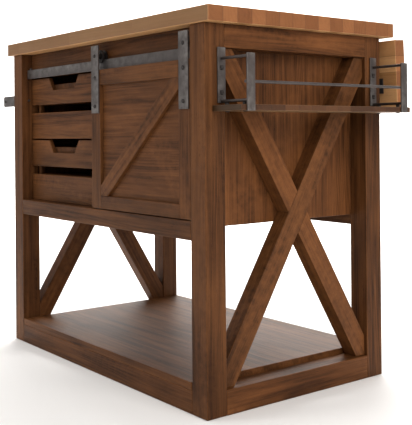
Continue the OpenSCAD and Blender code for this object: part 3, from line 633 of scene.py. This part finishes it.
class CartSettings(PropertyGroup):
    edge_round: FloatProperty(name="Timber edge", description="Rounding of the timber edges",
                              default=2.0 * MM, min=0.0005, max=0.005, unit="LENGTH")
    block_round: FloatProperty(name="Top edge", description="Rounding of the butcher-block edges",
                               default=2.2 * MM, min=0.0005, max=0.006, unit="LENGTH")
    steel_round: FloatProperty(name="Steel edge", description="Rounding of the flat steel edges",
                               default=0.7 * MM, min=0.0002, max=0.0015, unit="LENGTH")
    wear: FloatProperty(name="Wear", description="How rubbed the edges look", default=0.45,
                        min=0.0, max=1.0, subtype="FACTOR")
    shelf_boards: IntProperty(name="Shelf boards", description="Boards in the bottom shelf", default=1,
                              min=1, max=10)
    stave_width: FloatProperty(name="Stave width", description="Width of the butcher-block staves",
                               default=42 * MM, min=0.02, max=0.09, unit="LENGTH")
    stave_length: FloatProperty(name="Stave length", description="Length of the butcher-block staves",
                                default=320 * MM, min=0.1, max=1.2, unit="LENGTH")
    walnut: FloatVectorProperty(name="Walnut", description="Lighter tone of the stained timber",
                                default=(0.140, 0.053, 0.0165), size=3, min=0, max=1, subtype="COLOR")
    walnut_dark: FloatVectorProperty(name="Walnut dark", description="Darker tone of the stained timber",
                                     default=(0.033, 0.0115, 0.0036), size=3, min=0, max=1, subtype="COLOR")
    block: FloatVectorProperty(name="Block", description="Lighter tone of the butcher block",
                               default=(0.74, 0.42, 0.19), size=3, min=0, max=1, subtype="COLOR")
    block_dark: FloatVectorProperty(name="Block dark", description="Darker tone of the butcher block",
                                    default=(0.33, 0.15, 0.05), size=3, min=0, max=1, subtype="COLOR")
    steel: FloatVectorProperty(name="Steel", description="Tone of the gunmetal fittings",
                               default=(0.084, 0.071, 0.067), size=3, min=0, max=1, subtype="COLOR")
    light: FloatProperty(name="Light", description="Strength of the studio lights", default=1.0,
                         min=0.0, max=5.0, subtype="FACTOR")


def settings():
    return bpy.context.scene.island_cart


def from_boxes(nodes, body, material, start, grain=None, r=None, wear=0.0003):
    """Draws every solid of each node as one rounded board that fills the solid's whole bounding
    box, each with its own board number. A hollow or bent solid comes out filled."""
    s = settings()
    for n in nodes:
        shape = Shape()
        for k, (low, high) in enumerate(solids(n)):
            block(shape, low, high, r or s.edge_round, start + k, grain, wear)
        finish_mesh(shape, material, body, n)
        start += 10


# ---------------------------------------------------------------- operators

class CART_OT_materials(Operator):
    """Make the timber, butcher-block and steel materials"""
    bl_idname = "island_cart.materials"
    bl_label = "Materials"

    def execute(self, context):
        s = settings()
        figure_group()
        stave_group()
        wear_group()
        rubbed = toned(s.walnut, 1.5)
        wood_material("Walnut", s.walnut_dark, s.walnut, rubbed, 0.5, 150.0, s)
        # A darker copy of the walnut for the apron under the top and the parts inside the cabinet and crates:
        # painted shade
        wood_material("Walnut Inner", toned(s.walnut_dark, 0.75), toned(s.walnut, 0.8), tuple(s.walnut),
                      0.58, 140.0, s)
        block_material("Butcher Block", s.block_dark, s.block, s)
        block_material("Plank Block", toned(s.block_dark, 0.2), toned(s.block, 0.34), s)
        steel_material("Gunmetal", tuple(s.steel), (0.42, 0.40, 0.38), 0.75, 0.42, s)
        steel_material("Black Steel", toned(s.steel, 0.4), (0.16, 0.15, 0.15), 0.6, 0.46, s)
        return {"FINISHED"}


class CART_OT_frame(Operator):
    """Build the posts, rails, aprons, shelf and braces"""
    bl_idname = "island_cart.frame"
    bl_label = "Frame timber"

    def execute(self, context):
        from_boxes(["post_front_left", "post_front_right", "post_rear_left", "post_rear_right",
                    "top_rail_back",
                    "top_rails_side", "mid_rail_front", "mid_rail_back", "bottom_rails_long",
                    "bottom_rails_side"], "cart", "Walnut", 100)
        # The apron under the top gets the darker walnut copy: painted shade
        from_boxes(["apron_front"], "cart", "Walnut Inner", 230)
        self.shelf()
        self.brace("brace_left", 240)
        self.brace("brace_right", 250)
        return {"FINISHED"}

    def shelf(self):
        s = settings()
        low, high = box("bottom_shelf")
        shape = Shape()
        wide = (high[1] - low[1]) / s.shelf_boards
        for k in range(s.shelf_boards):
            a, b = low.copy(), high.copy()
            a[1] = low[1] + k * wide + (0.0003 if k else 0)
            b[1] = low[1] + (k + 1) * wide - (0.0003 if k < s.shelf_boards - 1 else 0)
            block(shape, a, b, 0.0014, 270 + k, 0, 0.0003)
        finish_mesh(shape, "Walnut", "cart", "bottom_shelf")

    def brace(self, node, start):
        """Two members lapped flush where they cross. Each is the opening's rectangle cut down
        to a strip about its diagonal; the second is cut back at the first one's edges."""
        s = settings()
        low, high = box(node)
        B, H = high[1] - low[1], high[2] - low[2]
        rect = np.array([(0, 0), (B, 0), (B, H), (0, H)], float)
        middle = np.array([B / 2, H / 2])
        half = BRACE_W / 2
        up, down = unit(np.array([B, H])), unit(np.array([B, -H]))
        n_up, n_down = np.array([-up[1], up[0]]), np.array([-down[1], down[0]])
        first = clip(clip(rect, middle + n_up * half, n_up), middle - n_up * half, -n_up)
        strip = clip(clip(rect, middle + n_down * half, n_down), middle - n_down * half, -n_down)
        shape = Shape()
        place = (low, Y, Z, X)
        deep = high[0] - low[0]
        prism(shape, first, deep, place, s.edge_round * 0.8, start, tuple(up), wear=0.0003)
        for side in (1, -1):
            piece = clip(strip, middle + n_up * half * side, -n_up * side)
            prism(shape, piece, deep, place, s.edge_round * 0.8, start + 1, tuple(down), wear=0.0003)
        finish_mesh(shape, "Walnut", "cart", node)


class CART_OT_top(Operator):
    """Build the butcher-block top and the drop leaf"""
    bl_idname = "island_cart.top"
    bl_label = "Top and leaf"

    def execute(self, context):
        s = settings()
        low, high = box("tabletop")
        shape = Shape()
        block(shape, low, high, s.block_round, 0, 0, 0.0002, 4)
        finish_mesh(shape, "Butcher Block", "cart", "tabletop")
        shape = Shape()
        origin = hang(np.array([low[0], high[1] + LEAF_GAP, low[2]]))
        U, V, W = X, hang(Y, False), hang(Z, False)
        L = high[0] - low[0]
        prism(shape, rectangle(L, LEAF_LEN), high[2] - low[2], (origin, U, V, W),
              s.block_round, 3, arc=4, wear=0.0002)
        finish_mesh(shape, "Butcher Block", "leaf", "drop_leaf")
        return {"FINISHED"}


def hang(p, place=True):
    """Turns a point or a direction on the leaf from the raised to the hanging place."""
    pivot = joint_place("leaf_swing") if place else np.zeros(3)
    c, s = math.cos(LEAF_TURN), math.sin(LEAF_TURN)
    q = np.asarray(p, float) - pivot
    y, z = q[..., 1], q[..., 2]
    return np.stack([q[..., 0], y * c + z * s, -y * s + z * c], axis=-1) + pivot


class CART_OT_cabinet(Operator):
    """Build the cabinet's panels, floor, divider, runners and inner shelf"""
    bl_idname = "island_cart.cabinet"
    bl_label = "Cabinet"

    def execute(self, context):
        from_boxes(["side_panel_left", "side_panel_right"], "cart", "Walnut", 300, 2)
        # The back panel, floor, runners and inner shelf inside the cabinet get the darker walnut copy:
        # painted shade
        from_boxes(["back_panel", "cabinet_floor", "crate_runners", "inner_shelf"], "cart",
                   "Walnut Inner", 330)
        low, high = box("centre_divider")
        a_low, a_high = box("apron_front")
        y1, z1 = a_high[1] - low[1], a_low[2] - low[2]
        D, H = high[1] - low[1], high[2] - low[2]
        shape = Shape()
        prism(shape, [(0, 0), (D, 0), (D, H), (y1, H), (y1, z1), (0, z1)], high[0] - low[0], (low, Y, Z, X),
              0.001, 380, (0, 1))
        # The centre divider inside the cabinet gets the darker walnut copy: painted shade
        finish_mesh(shape, "Walnut Inner", "cart", "centre_divider")
        shape = Shape()
        for low, high in solids("shelf_pins"):
            c = (low + high) / 2
            rod(shape, [low[0], c[1], c[2]], [high[0], c[1], c[2]], (high[2] - low[2]) / 2)
        finish_mesh(shape, "Gunmetal", "cart", "shelf_pins")
        return {"FINISHED"}


class CART_OT_door(Operator):
    """Build the barn door's frame, panel and diagonal"""
    bl_idname = "island_cart.door"
    bl_label = "Barn door"

    def execute(self, context):
        from_boxes(["door_stiles", "door_rails", "door_panel"], "door", "Walnut", 400, None, 0.0013)
        low, high = box("door_diagonal")
        B, H = high[0] - low[0], high[2] - low[2]
        middle = np.array([B / 2, H / 2])
        up = unit(np.array([B, H]))
        n = np.array([-up[1], up[0]])
        rect = np.array([(0, 0), (B, 0), (B, H), (0, H)], float)
        strip = clip(clip(rect, middle + n * DIAGONAL_W / 2, n), middle - n * DIAGONAL_W / 2, -n)
        shape = Shape()
        prism(shape, strip, high[1] - low[1], ([low[0], high[1], low[2]], X, Z, -Y), 0.0012, 440, tuple(up),
              wear=0.0002)
        finish_mesh(shape, "Walnut", "door", "door_diagonal")
        return {"FINISHED"}


class CART_OT_crates(Operator):
    """Build the two pull-out crates"""
    bl_idname = "island_cart.crates"
    bl_label = "Crates"

    def execute(self, context):
        for k, name in enumerate(("lower", "upper")):
            body = name + "_crate"
            node = "crate_" + name
            start = 500 + 50 * k
            shape = Shape()
            pieces = sorted(solids(node + "_front"), key=lambda b: b[0][2])
            block(shape, *pieces[0], 0.0018, start, wear=0.0004)
            low, high = pieces[1]
            L, H = high[0] - low[0], high[2] - low[2]
            a, b = L / 2 - HAND_W / 2, L / 2 + HAND_W / 2
            poly = [(0, 0), (L, 0), (L, H), (b, H), (b - HAND_SLOPE, H - HAND_D),
                    (a + HAND_SLOPE, H - HAND_D), (a, H), (0, H)]
            prism(shape, poly, high[1] - low[1], ([low[0], high[1], low[2]], X, Z, -Y), 0.0018,
                  start + 1, wear=0.0004)
            finish_mesh(shape, "Walnut", body, node + "_front")
            # The crates' slats, corners and bottoms get the darker walnut copy: painted shade
            from_boxes([node + "_slats", node + "_corners", node + "_bottom"], body, "Walnut Inner",
                       start + 10, None, 0.0012)
        return {"FINISHED"}


class CART_OT_track(Operator):
    """Build the sliding track, its bolts, the hanger straps and the rollers"""
    bl_idname = "island_cart.track"
    bl_label = "Track and rollers"

    def execute(self, context):
        s = settings()
        r = s.steel_round
        low, high = box("track_bar")
        shape = Shape()
        top = low[2] + TRACK_H
        block(shape, low, [high[0], high[1], top], r, 600)
        stops = [(low[0] + 15.5 * MM, low[0] + 24.5 * MM), (high[0] - 12.5 * MM, high[0] - 3.5 * MM)]
        for x0, x1 in stops:
            block(shape, [x0, low[1], top - 1 * MM], [x1, high[1], high[2]], r, 601)
        finish_mesh(shape, "Gunmetal", "cart", "track_bar")
        shape = Shape()
        for low, high in solids("track_bolts"):
            c = (low + high) / 2
            rod(shape, [c[0], low[1] + 0.2 * MM, c[2]], [c[0], high[1], c[2]], (high[0] - low[0]) / 2)
        finish_mesh(shape, "Gunmetal", "cart", "track_bolts")
        shape = Shape()
        block(shape, *box("door_guide"), r, 610)
        finish_mesh(shape, "Gunmetal", "cart", "door_guide")
        shape = Shape()
        for k, b in enumerate(solids("hanger_straps")):
            block(shape, *b, r, 620 + k)
        finish_mesh(shape, "Gunmetal", "door", "hanger_straps")
        shape = Shape()
        for low, high in solids("strap_bolts"):
            c = (low + high) / 2
            dome(shape, [c[0], low[1] + 4 * MM, c[2]], -Y, (high[0] - low[0]) / 2, 4 * MM)
            rod(shape, [c[0], low[1] + 3 * MM, c[2]], [c[0], high[1], c[2]], 3 * MM)
        finish_mesh(shape, "Black Steel", "door", "strap_bolts")
        shape = Shape()
        for side, (low, high) in zip(("left", "right"), solids("roller_axles")):
            c = (low + high) / 2
            dome(shape, [c[0], low[1] + 4 * MM, c[2]], -Y, 5 * MM, 4 * MM)
            r_low = box("roller_" + side)[0]
            rod(shape, [c[0], low[1] + 3 * MM, c[2]], [c[0], high[1], c[2]], 4 * MM)
            rod(shape, [c[0], low[1] + 8 * MM, c[2]], [c[0], r_low[1] - 0.3 * MM, c[2]], 7 * MM)
            rod(shape, [c[0], high[1] - 1.2 * MM, c[2]], [c[0], high[1], c[2]], 6 * MM)
        finish_mesh(shape, "Black Steel", "door", "roller_axles")
        for side in ("left", "right"):
            low, high = box("roller_" + side)
            c = (low + high) / 2
            R = (high[0] - low[0]) / 2
            w = high[1] - low[1]
            tread, f = R - 9 * MM, 4 * MM
            shape = Shape()
            turned(shape, np.array([c[0], low[1], c[2]]), Y,
                   [(0, 4.1 * MM), (0, 8 * MM), (0.8 * MM, 9 * MM), (0.8 * MM, R - 3 * MM), (0, R - 2 * MM),
                    (0, R - 0.6 * MM), (0.6 * MM, R), (f - 1 * MM, R), (f, tread), (w - f, tread),
                    (w - f + 1 * MM, R), (w - 0.6 * MM, R), (w, R - 0.6 * MM), (w, R - 2 * MM),
                    (w - 0.8 * MM, R - 3 * MM), (w - 0.8 * MM, 9 * MM), (w, 8 * MM), (w, 4.1 * MM)], 0, 64)
            finish_mesh(shape, "Black Steel", side + "_roller", "roller_" + side)
        return {"FINISHED"}


class CART_OT_towel_bar(Operator):
    """Build the towel bar's brackets, rod and bolts"""
    bl_idname = "island_cart.towel_bar"
    bl_label = "Towel bar"

    def execute(self, context):
        s = settings()
        shape = Shape()
        for k, (low, high) in enumerate(solids("towel_brackets")):
            front = k == 0
            y0 = low[1] if front else high[1] - BRACKET_T
            L, H, q = high[0] - low[0], high[2] - low[2], 8 * MM
            a = np.linspace(math.pi / 2, math.pi, 7)
            arc = np.stack([q + q * np.cos(a), H - q + q * np.sin(a)], axis=1)
            other = np.stack([arc[::-1, 0], H - arc[::-1, 1]], axis=1)
            outline = np.concatenate([[(L, 0), (L, H)], arc, other])
            prism(shape, outline, BRACKET_T, ([low[0], y0 + BRACKET_T, low[2]], X, Z, -Y), s.steel_round,
                  700 + k, arc=2)
            y1, y2 = (y0 + BRACKET_T, high[1]) if front else (low[1], y0)
            block(shape, [high[0] - BRACKET_T, y1, low[2]], [high[0], y2, high[2]], s.steel_round, 702 + k, 1)
        finish_mesh(shape, "Gunmetal", "cart", "towel_brackets")
        shape = Shape()
        low, high = box("towel_rod")
        c = (low + high) / 2
        rod(shape, [c[0], low[1], c[2]], [c[0], high[1], c[2]], (high[0] - low[0]) / 2, 0, 40)
        finish_mesh(shape, "Gunmetal", "cart", "towel_rod")
        shape = Shape()
        for low, high in solids("towel_bolts"):
            c, size = (low + high) / 2, high - low
            if size[0] > 30 * MM:
                dome(shape, [low[0] + 4 * MM, c[1], c[2]], -X, 6 * MM, 4 * MM)
                rod(shape, [low[0] + 3 * MM, c[1], c[2]], [high[0], c[1], c[2]], 3 * MM)
            elif size[0] < 8 * MM:
                a = np.arange(6) * math.pi / 3
                poly = np.stack([np.cos(a), np.sin(a)], axis=1) * size[2] / 2 * 1.0
                low_r = max(size[1], size[2]) / 2
                poly = np.stack([np.cos(a), np.sin(a)], axis=1) * low_r
                turn = (Y, Z) if size[1] >= size[2] else (Z, -Y)
                prism(shape, poly, size[0], ([low[0], c[1], c[2]], *turn, X), 0.5 * MM, 0, arc=2)
            else:
                sign = -1 if c[1] < 0 else 1
                end = low[1] if sign < 0 else high[1]
                dome(shape, [c[0], end - sign * 2.5 * MM, c[2]], sign * Y, 5 * MM, 2.5 * MM)
        finish_mesh(shape, "Black Steel", "cart", "towel_bolts")
        return {"FINISHED"}


class CART_OT_rack(Operator):
    """Build the spice rack"""
    bl_idname = "island_cart.rack"
    bl_label = "Spice rack"

    def execute(self, context):
        s = settings()
        for node in ("rack_straps", "rack_bars"):
            shape = Shape()
            for k, b in enumerate(solids(node)):
                block(shape, *b, s.steel_round, 800 + k)
            finish_mesh(shape, "Gunmetal", "cart", node)
        shape = Shape()
        for low, high in solids("rack_rods"):
            c, a = (low + high) / 2, int(np.argmax(high - low))
            p, q = c.copy(), c.copy()
            p[a], q[a] = low[a], high[a]
            rod(shape, p, q, np.sort(high - low)[0] / 2)
        finish_mesh(shape, "Gunmetal", "cart", "rack_rods")
        shape = Shape()
        block(shape, *box("rack_plank"), 0.0012, 0, 0, 0.0002)
        finish_mesh(shape, "Plank Block", "cart", "rack_plank")
        shape = Shape()
        for low, high in solids("rack_screws"):
            c, size = (low + high) / 2, high - low
            if size[2] > size[0]:
                dome(shape, [c[0], c[1], low[2] + 2.5 * MM], -Z, 5 * MM, 2.5 * MM)
                rod(shape, [c[0], c[1], high[2] - 6 * MM], [c[0], c[1], high[2]], 5 * MM)
            else:
                dome(shape, [high[0] - 2.5 * MM, c[1], c[2]], X, size[2] / 2, 2.5 * MM)
        finish_mesh(shape, "Black Steel", "cart", "rack_screws")
        return {"FINISHED"}


class CART_OT_leaf_support(Operator):
    """Build the leaf's hinges, lugs, struts, wall plates and catches"""
    bl_idname = "island_cart.leaf_support"
    bl_label = "Leaf support"

    def execute(self, context):
        s = settings()
        self.hinges()
        self.lugs()
        for side in ("left", "right"):
            self.strut(s, side)
        self.plates(s)
        for side in ("left", "right"):
            self.catch(s, side)
        return {"FINISHED"}

    def hinges(self):
        pin = joint_place("leaf_swing")
        fixed, moving = Shape(), Shape()
        boxes = solids("leaf_hinges_moving")
        top = box("tabletop")[0][2]
        for low, high in boxes:
            xc = (low[0] + high[0]) / 2
            x0, x1 = xc - HINGE_LEN / 2, xc + HINGE_LEN / 2
            y0 = box("leaf_hinges_fixed")[0][1]
            block(fixed, [x0, y0, top - PLATE_T], [x1, pin[1] - LEAF_GAP, top], 0.5 * MM, 0, 0)
            third = HINGE_LEN / 3
            for a, b in ((x0, x0 + third), (x1 - third, x1)):
                rod(fixed, [a, pin[1], pin[2]], [b, pin[1], pin[2]], KNUCKLE_R)
                block(fixed, [a, pin[1] - WEB, top - PLATE_T], [b, pin[1], top - 0.01 * MM], 0.1 * MM, 0, 0)
            y_in, y_out = pin[1] + LEAF_GAP, pin[1] + LEAF_GAP + 24 * MM
            frame_at = (hang(np.array([x0, y_in, top - PLATE_T])), X, hang(Y, False), hang(Z, False))
            prism(moving, rectangle(HINGE_LEN, y_out - y_in), PLATE_T, frame_at, 0.5 * MM, 0)
            a, b = x0 + third + 0.3 * MM, x1 - third - 0.3 * MM
            rod(moving, [a, pin[1], pin[2]], [b, pin[1], pin[2]], KNUCKLE_R)
            frame_at = (hang(np.array([a, pin[1], top - PLATE_T])), X, hang(Y, False), hang(Z, False))
            prism(moving, rectangle(b - a, WEB), PLATE_T, frame_at, 0.1 * MM, 0)
        finish_mesh(fixed, "Gunmetal", "cart", "leaf_hinges_fixed")
        finish_mesh(moving, "Gunmetal", "leaf", "leaf_hinges_moving")

    def lugs(self):
        pin = joint_place("leaf_swing")
        top = box("tabletop")[0][2]
        y, z = pin[1] + STRUT_OUT, pin[2] - LUG_DROP
        V, W = hang(Y, False), hang(Z, False)
        shape = Shape()
        for side in ("left", "right"):
            x = joint_place(side + "_strut_swing")[0]
            base = hang(np.array([x - 16 * MM, y - 20 * MM, top - 3 * MM]))
            prism(shape, rectangle(32 * MM, 40 * MM), 3 * MM, (base, X, V, W), 0.6 * MM, 0)
            arc = half_round(math.pi, 6 * MM)
            ear = np.concatenate([arc, [(6 * MM, top - z), (-6 * MM, top - z)]])
            for x0 in (x - 5.8 * MM, x + 2.8 * MM):
                prism(shape, ear, 3 * MM, (hang(np.array([x0, y, z])), V, W, X), 0.5 * MM, 0, arc=2)
            p = hang(np.array([x - 7.3 * MM, y, z]))
            rod(shape, p, p + X * 14.6 * MM, 3 * MM)
        finish_mesh(shape, "Black Steel", "leaf", "leaf_lugs")

    def strut(self, s, side):
        pivot = joint_place(side + "_strut_swing")
        low, high = box("strut_" + side)
        foot = low[2] + 6.5 * MM
        arc = half_round(0, 6 * MM)
        outline = np.concatenate([arc, -arc + np.array([0, foot - pivot[2]])])
        shape = Shape()
        prism(shape, outline, 5 * MM, (pivot - X * 2.5 * MM, Y, Z, X), s.steel_round, 0, (0, 1), arc=2)
        rod(shape, [low[0], pivot[1], foot], [high[0], pivot[1], foot], 6.5 * MM)
        finish_mesh(shape, "Gunmetal", side + "_strut", "strut_" + side)

    def plates(self, s):
        shape = Shape()
        low, high = box("wall_plates")
        foot = high[2] - 36 * MM
        for side in ("left", "right"):
            x = joint_place(side + "_strut_swing")[0]
            y0 = low[1]
            block(shape, [x - 20 * MM, y0, low[2]], [x + 20 * MM, y0 + 3 * MM, high[2]], s.steel_round, 0)
            block(shape, [x - 7 * MM, y0 + 3 * MM, foot - 6 * MM],
                  [x + 7 * MM, y0 + 7.2 * MM, high[2] - 14 * MM], s.steel_round, 1)
            for dx in (-16, 16):
                for z in (low[2] + 8 * MM, high[2] - 8 * MM):
                    dome(shape, [x + dx * MM, y0 + 3 * MM, z], Y, 2.5 * MM, 0.6 * MM)
            c = joint_place(side + "_catch_turn")
            rod(shape, [c[0], y0 + 3 * MM, c[2]], [c[0], high[1], c[2]], 3 * MM)
        finish_mesh(shape, "Black Steel", "cart", "wall_plates")

    def catch(self, s, side):
        c = joint_place(side + "_catch_turn")
        low, high = box("catch_" + side)
        arc = half_round(0, 6 * MM)
        outline = np.concatenate([arc, [(-6 * MM, low[2] - c[2]), (6 * MM, low[2] - c[2])]])
        shape = Shape()
        prism(shape, outline, high[1] - low[1], ([c[0], high[1], c[2]], X, Z, -Y), s.steel_round, 0, (0, 1),
              arc=2)
        finish_mesh(shape, "Gunmetal", side + "_catch", "catch_" + side)


class CART_OT_stage(Operator):
    """Build the floor, the studio lights and the camera"""
    bl_idname = "island_cart.stage"
    bl_label = "Stage"

    def execute(self, context):
        s = settings()
        scene = context.scene
        mesh = bpy.data.meshes.new("floor")
        t = np.linspace(0, 1, 33)
        bend = 1.6
        y = np.concatenate([[-9.0], 5.0 + bend * np.sin(t * math.pi / 2), [5.0 + bend]])
        z = np.concatenate([[0.0], bend * (1 - np.cos(t * math.pi / 2)), [9.0]]) - 0.0005
        c, q = math.cos(CAMERA_YAW), math.sin(CAMERA_YAW)
        rows = []
        for x in (-14.0, 14.0):
            rows.append(np.stack([x * c - y * q, x * q + y * c, z], axis=1))
        n = len(y)
        faces = [[k, n + k, n + k + 1, k + 1] for k in range(n - 1)]
        mesh.from_pydata(np.concatenate(rows).tolist(), [], faces)
        mesh.shade_smooth()
        floor = bpy.data.objects.new("floor", mesh)
        scene.collection.objects.link(floor)
        paper, tree, bsdf = new_material("Backdrop", (0.9, 0.9, 0.9))
        tone = noise(tree, object_position(tree), 1.5, 2.0)
        white = mixed(tree, tone, (0.955, 0.958, 0.962, 1), (0.97, 0.973, 0.977, 1))
        tree.links.new(white, bsdf.inputs["Base Color"])
        bsdf.inputs["Roughness"].default_value = 0.9
        bsdf.inputs["Specular IOR Level"].default_value = 0.1
        mesh.materials.append(paper)
        world = bpy.data.worlds.new("Studio")
        scene.world = world
        world.use_nodes = True
        back = world.node_tree.nodes["Background"]
        back.inputs["Color"].default_value = (1.0, 0.995, 0.985, 1)
        back.inputs["Strength"].default_value = 0.55 * s.light
        for name, azimuth, distance, height, size, power in LIGHTS:
            data = bpy.data.lights.new(name, "AREA")
            data.shape = "DISK"
            data.size = size
            data.energy = power * s.light
            data.color = (1.0, 0.97, 0.93) if name != "Side" else (1.0, 0.93, 0.86)
            light = bpy.data.objects.new(name, data)
            a = math.radians(azimuth)
            p = np.array([math.sin(a) * distance, -math.cos(a) * distance, height])
            target = np.array([0.0, 0.0, 0.45]) if name != "Wash" else np.array([-4.0, 4.0, 0.0])
            light.location = p
            d = target - p
            tip, spin = math.acos(-d[2] / np.linalg.norm(d)), math.atan2(d[1], d[0]) - math.pi / 2
            light.rotation_euler = (tip, 0, spin)
            scene.collection.objects.link(light)
        data = bpy.data.cameras.new("Camera")
        data.lens = CAMERA_LENS
        data.shift_x, data.shift_y = CAMERA_SHIFT
        camera = bpy.data.objects.new("Camera", data)
        camera.location = CAMERA_AT
        turn = Matrix.Rotation(CAMERA_YAW, 3, "Z") @ Matrix.Rotation(math.pi / 2, 3, "X")
        camera.rotation_euler = (turn @ Matrix.Rotation(CAMERA_ROLL, 3, "Z")).to_euler()
        scene.collection.objects.link(camera)
        scene.camera = camera
        scene.view_settings.view_transform = "Standard"
        return {"FINISHED"}


class CART_PT_panel(Panel):
    """Lists the cart's settings and builders"""
    bl_idname = "CART_PT_panel"
    bl_label = "Island Cart"
    bl_space_type = "VIEW_3D"
    bl_region_type = "UI"
    bl_category = "Island Cart"

    def draw(self, context):
        s = context.scene.island_cart
        for key in CartSettings.__annotations__:
            self.layout.prop(s, key)
        for op in BUILDERS:
            self.layout.operator(op.bl_idname)


BUILDERS = (CART_OT_materials, CART_OT_frame, CART_OT_top, CART_OT_cabinet, CART_OT_door, CART_OT_crates,
            CART_OT_track, CART_OT_towel_bar, CART_OT_rack, CART_OT_leaf_support, CART_OT_stage)
CLASSES = (CartSettings, *BUILDERS, CART_PT_panel)


def register():
    for c in CLASSES:
        bpy.utils.register_class(c)
    bpy.types.Scene.island_cart = PointerProperty(type=CartSettings)


def unregister():
    del bpy.types.Scene.island_cart
    for c in reversed(CLASSES):
        bpy.utils.unregister_class(c)


def main():
    register()
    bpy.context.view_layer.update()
    bpy.ops.island_cart.materials()
    bpy.ops.island_cart.frame()
    bpy.ops.island_cart.top()
    bpy.ops.island_cart.cabinet()
    bpy.ops.island_cart.door()
    bpy.ops.island_cart.crates()
    bpy.ops.island_cart.track()
    bpy.ops.island_cart.towel_bar()
    bpy.ops.island_cart.rack()
    bpy.ops.island_cart.leaf_support()
    bpy.ops.island_cart.stage()


if __name__ == "__main__":
    main()
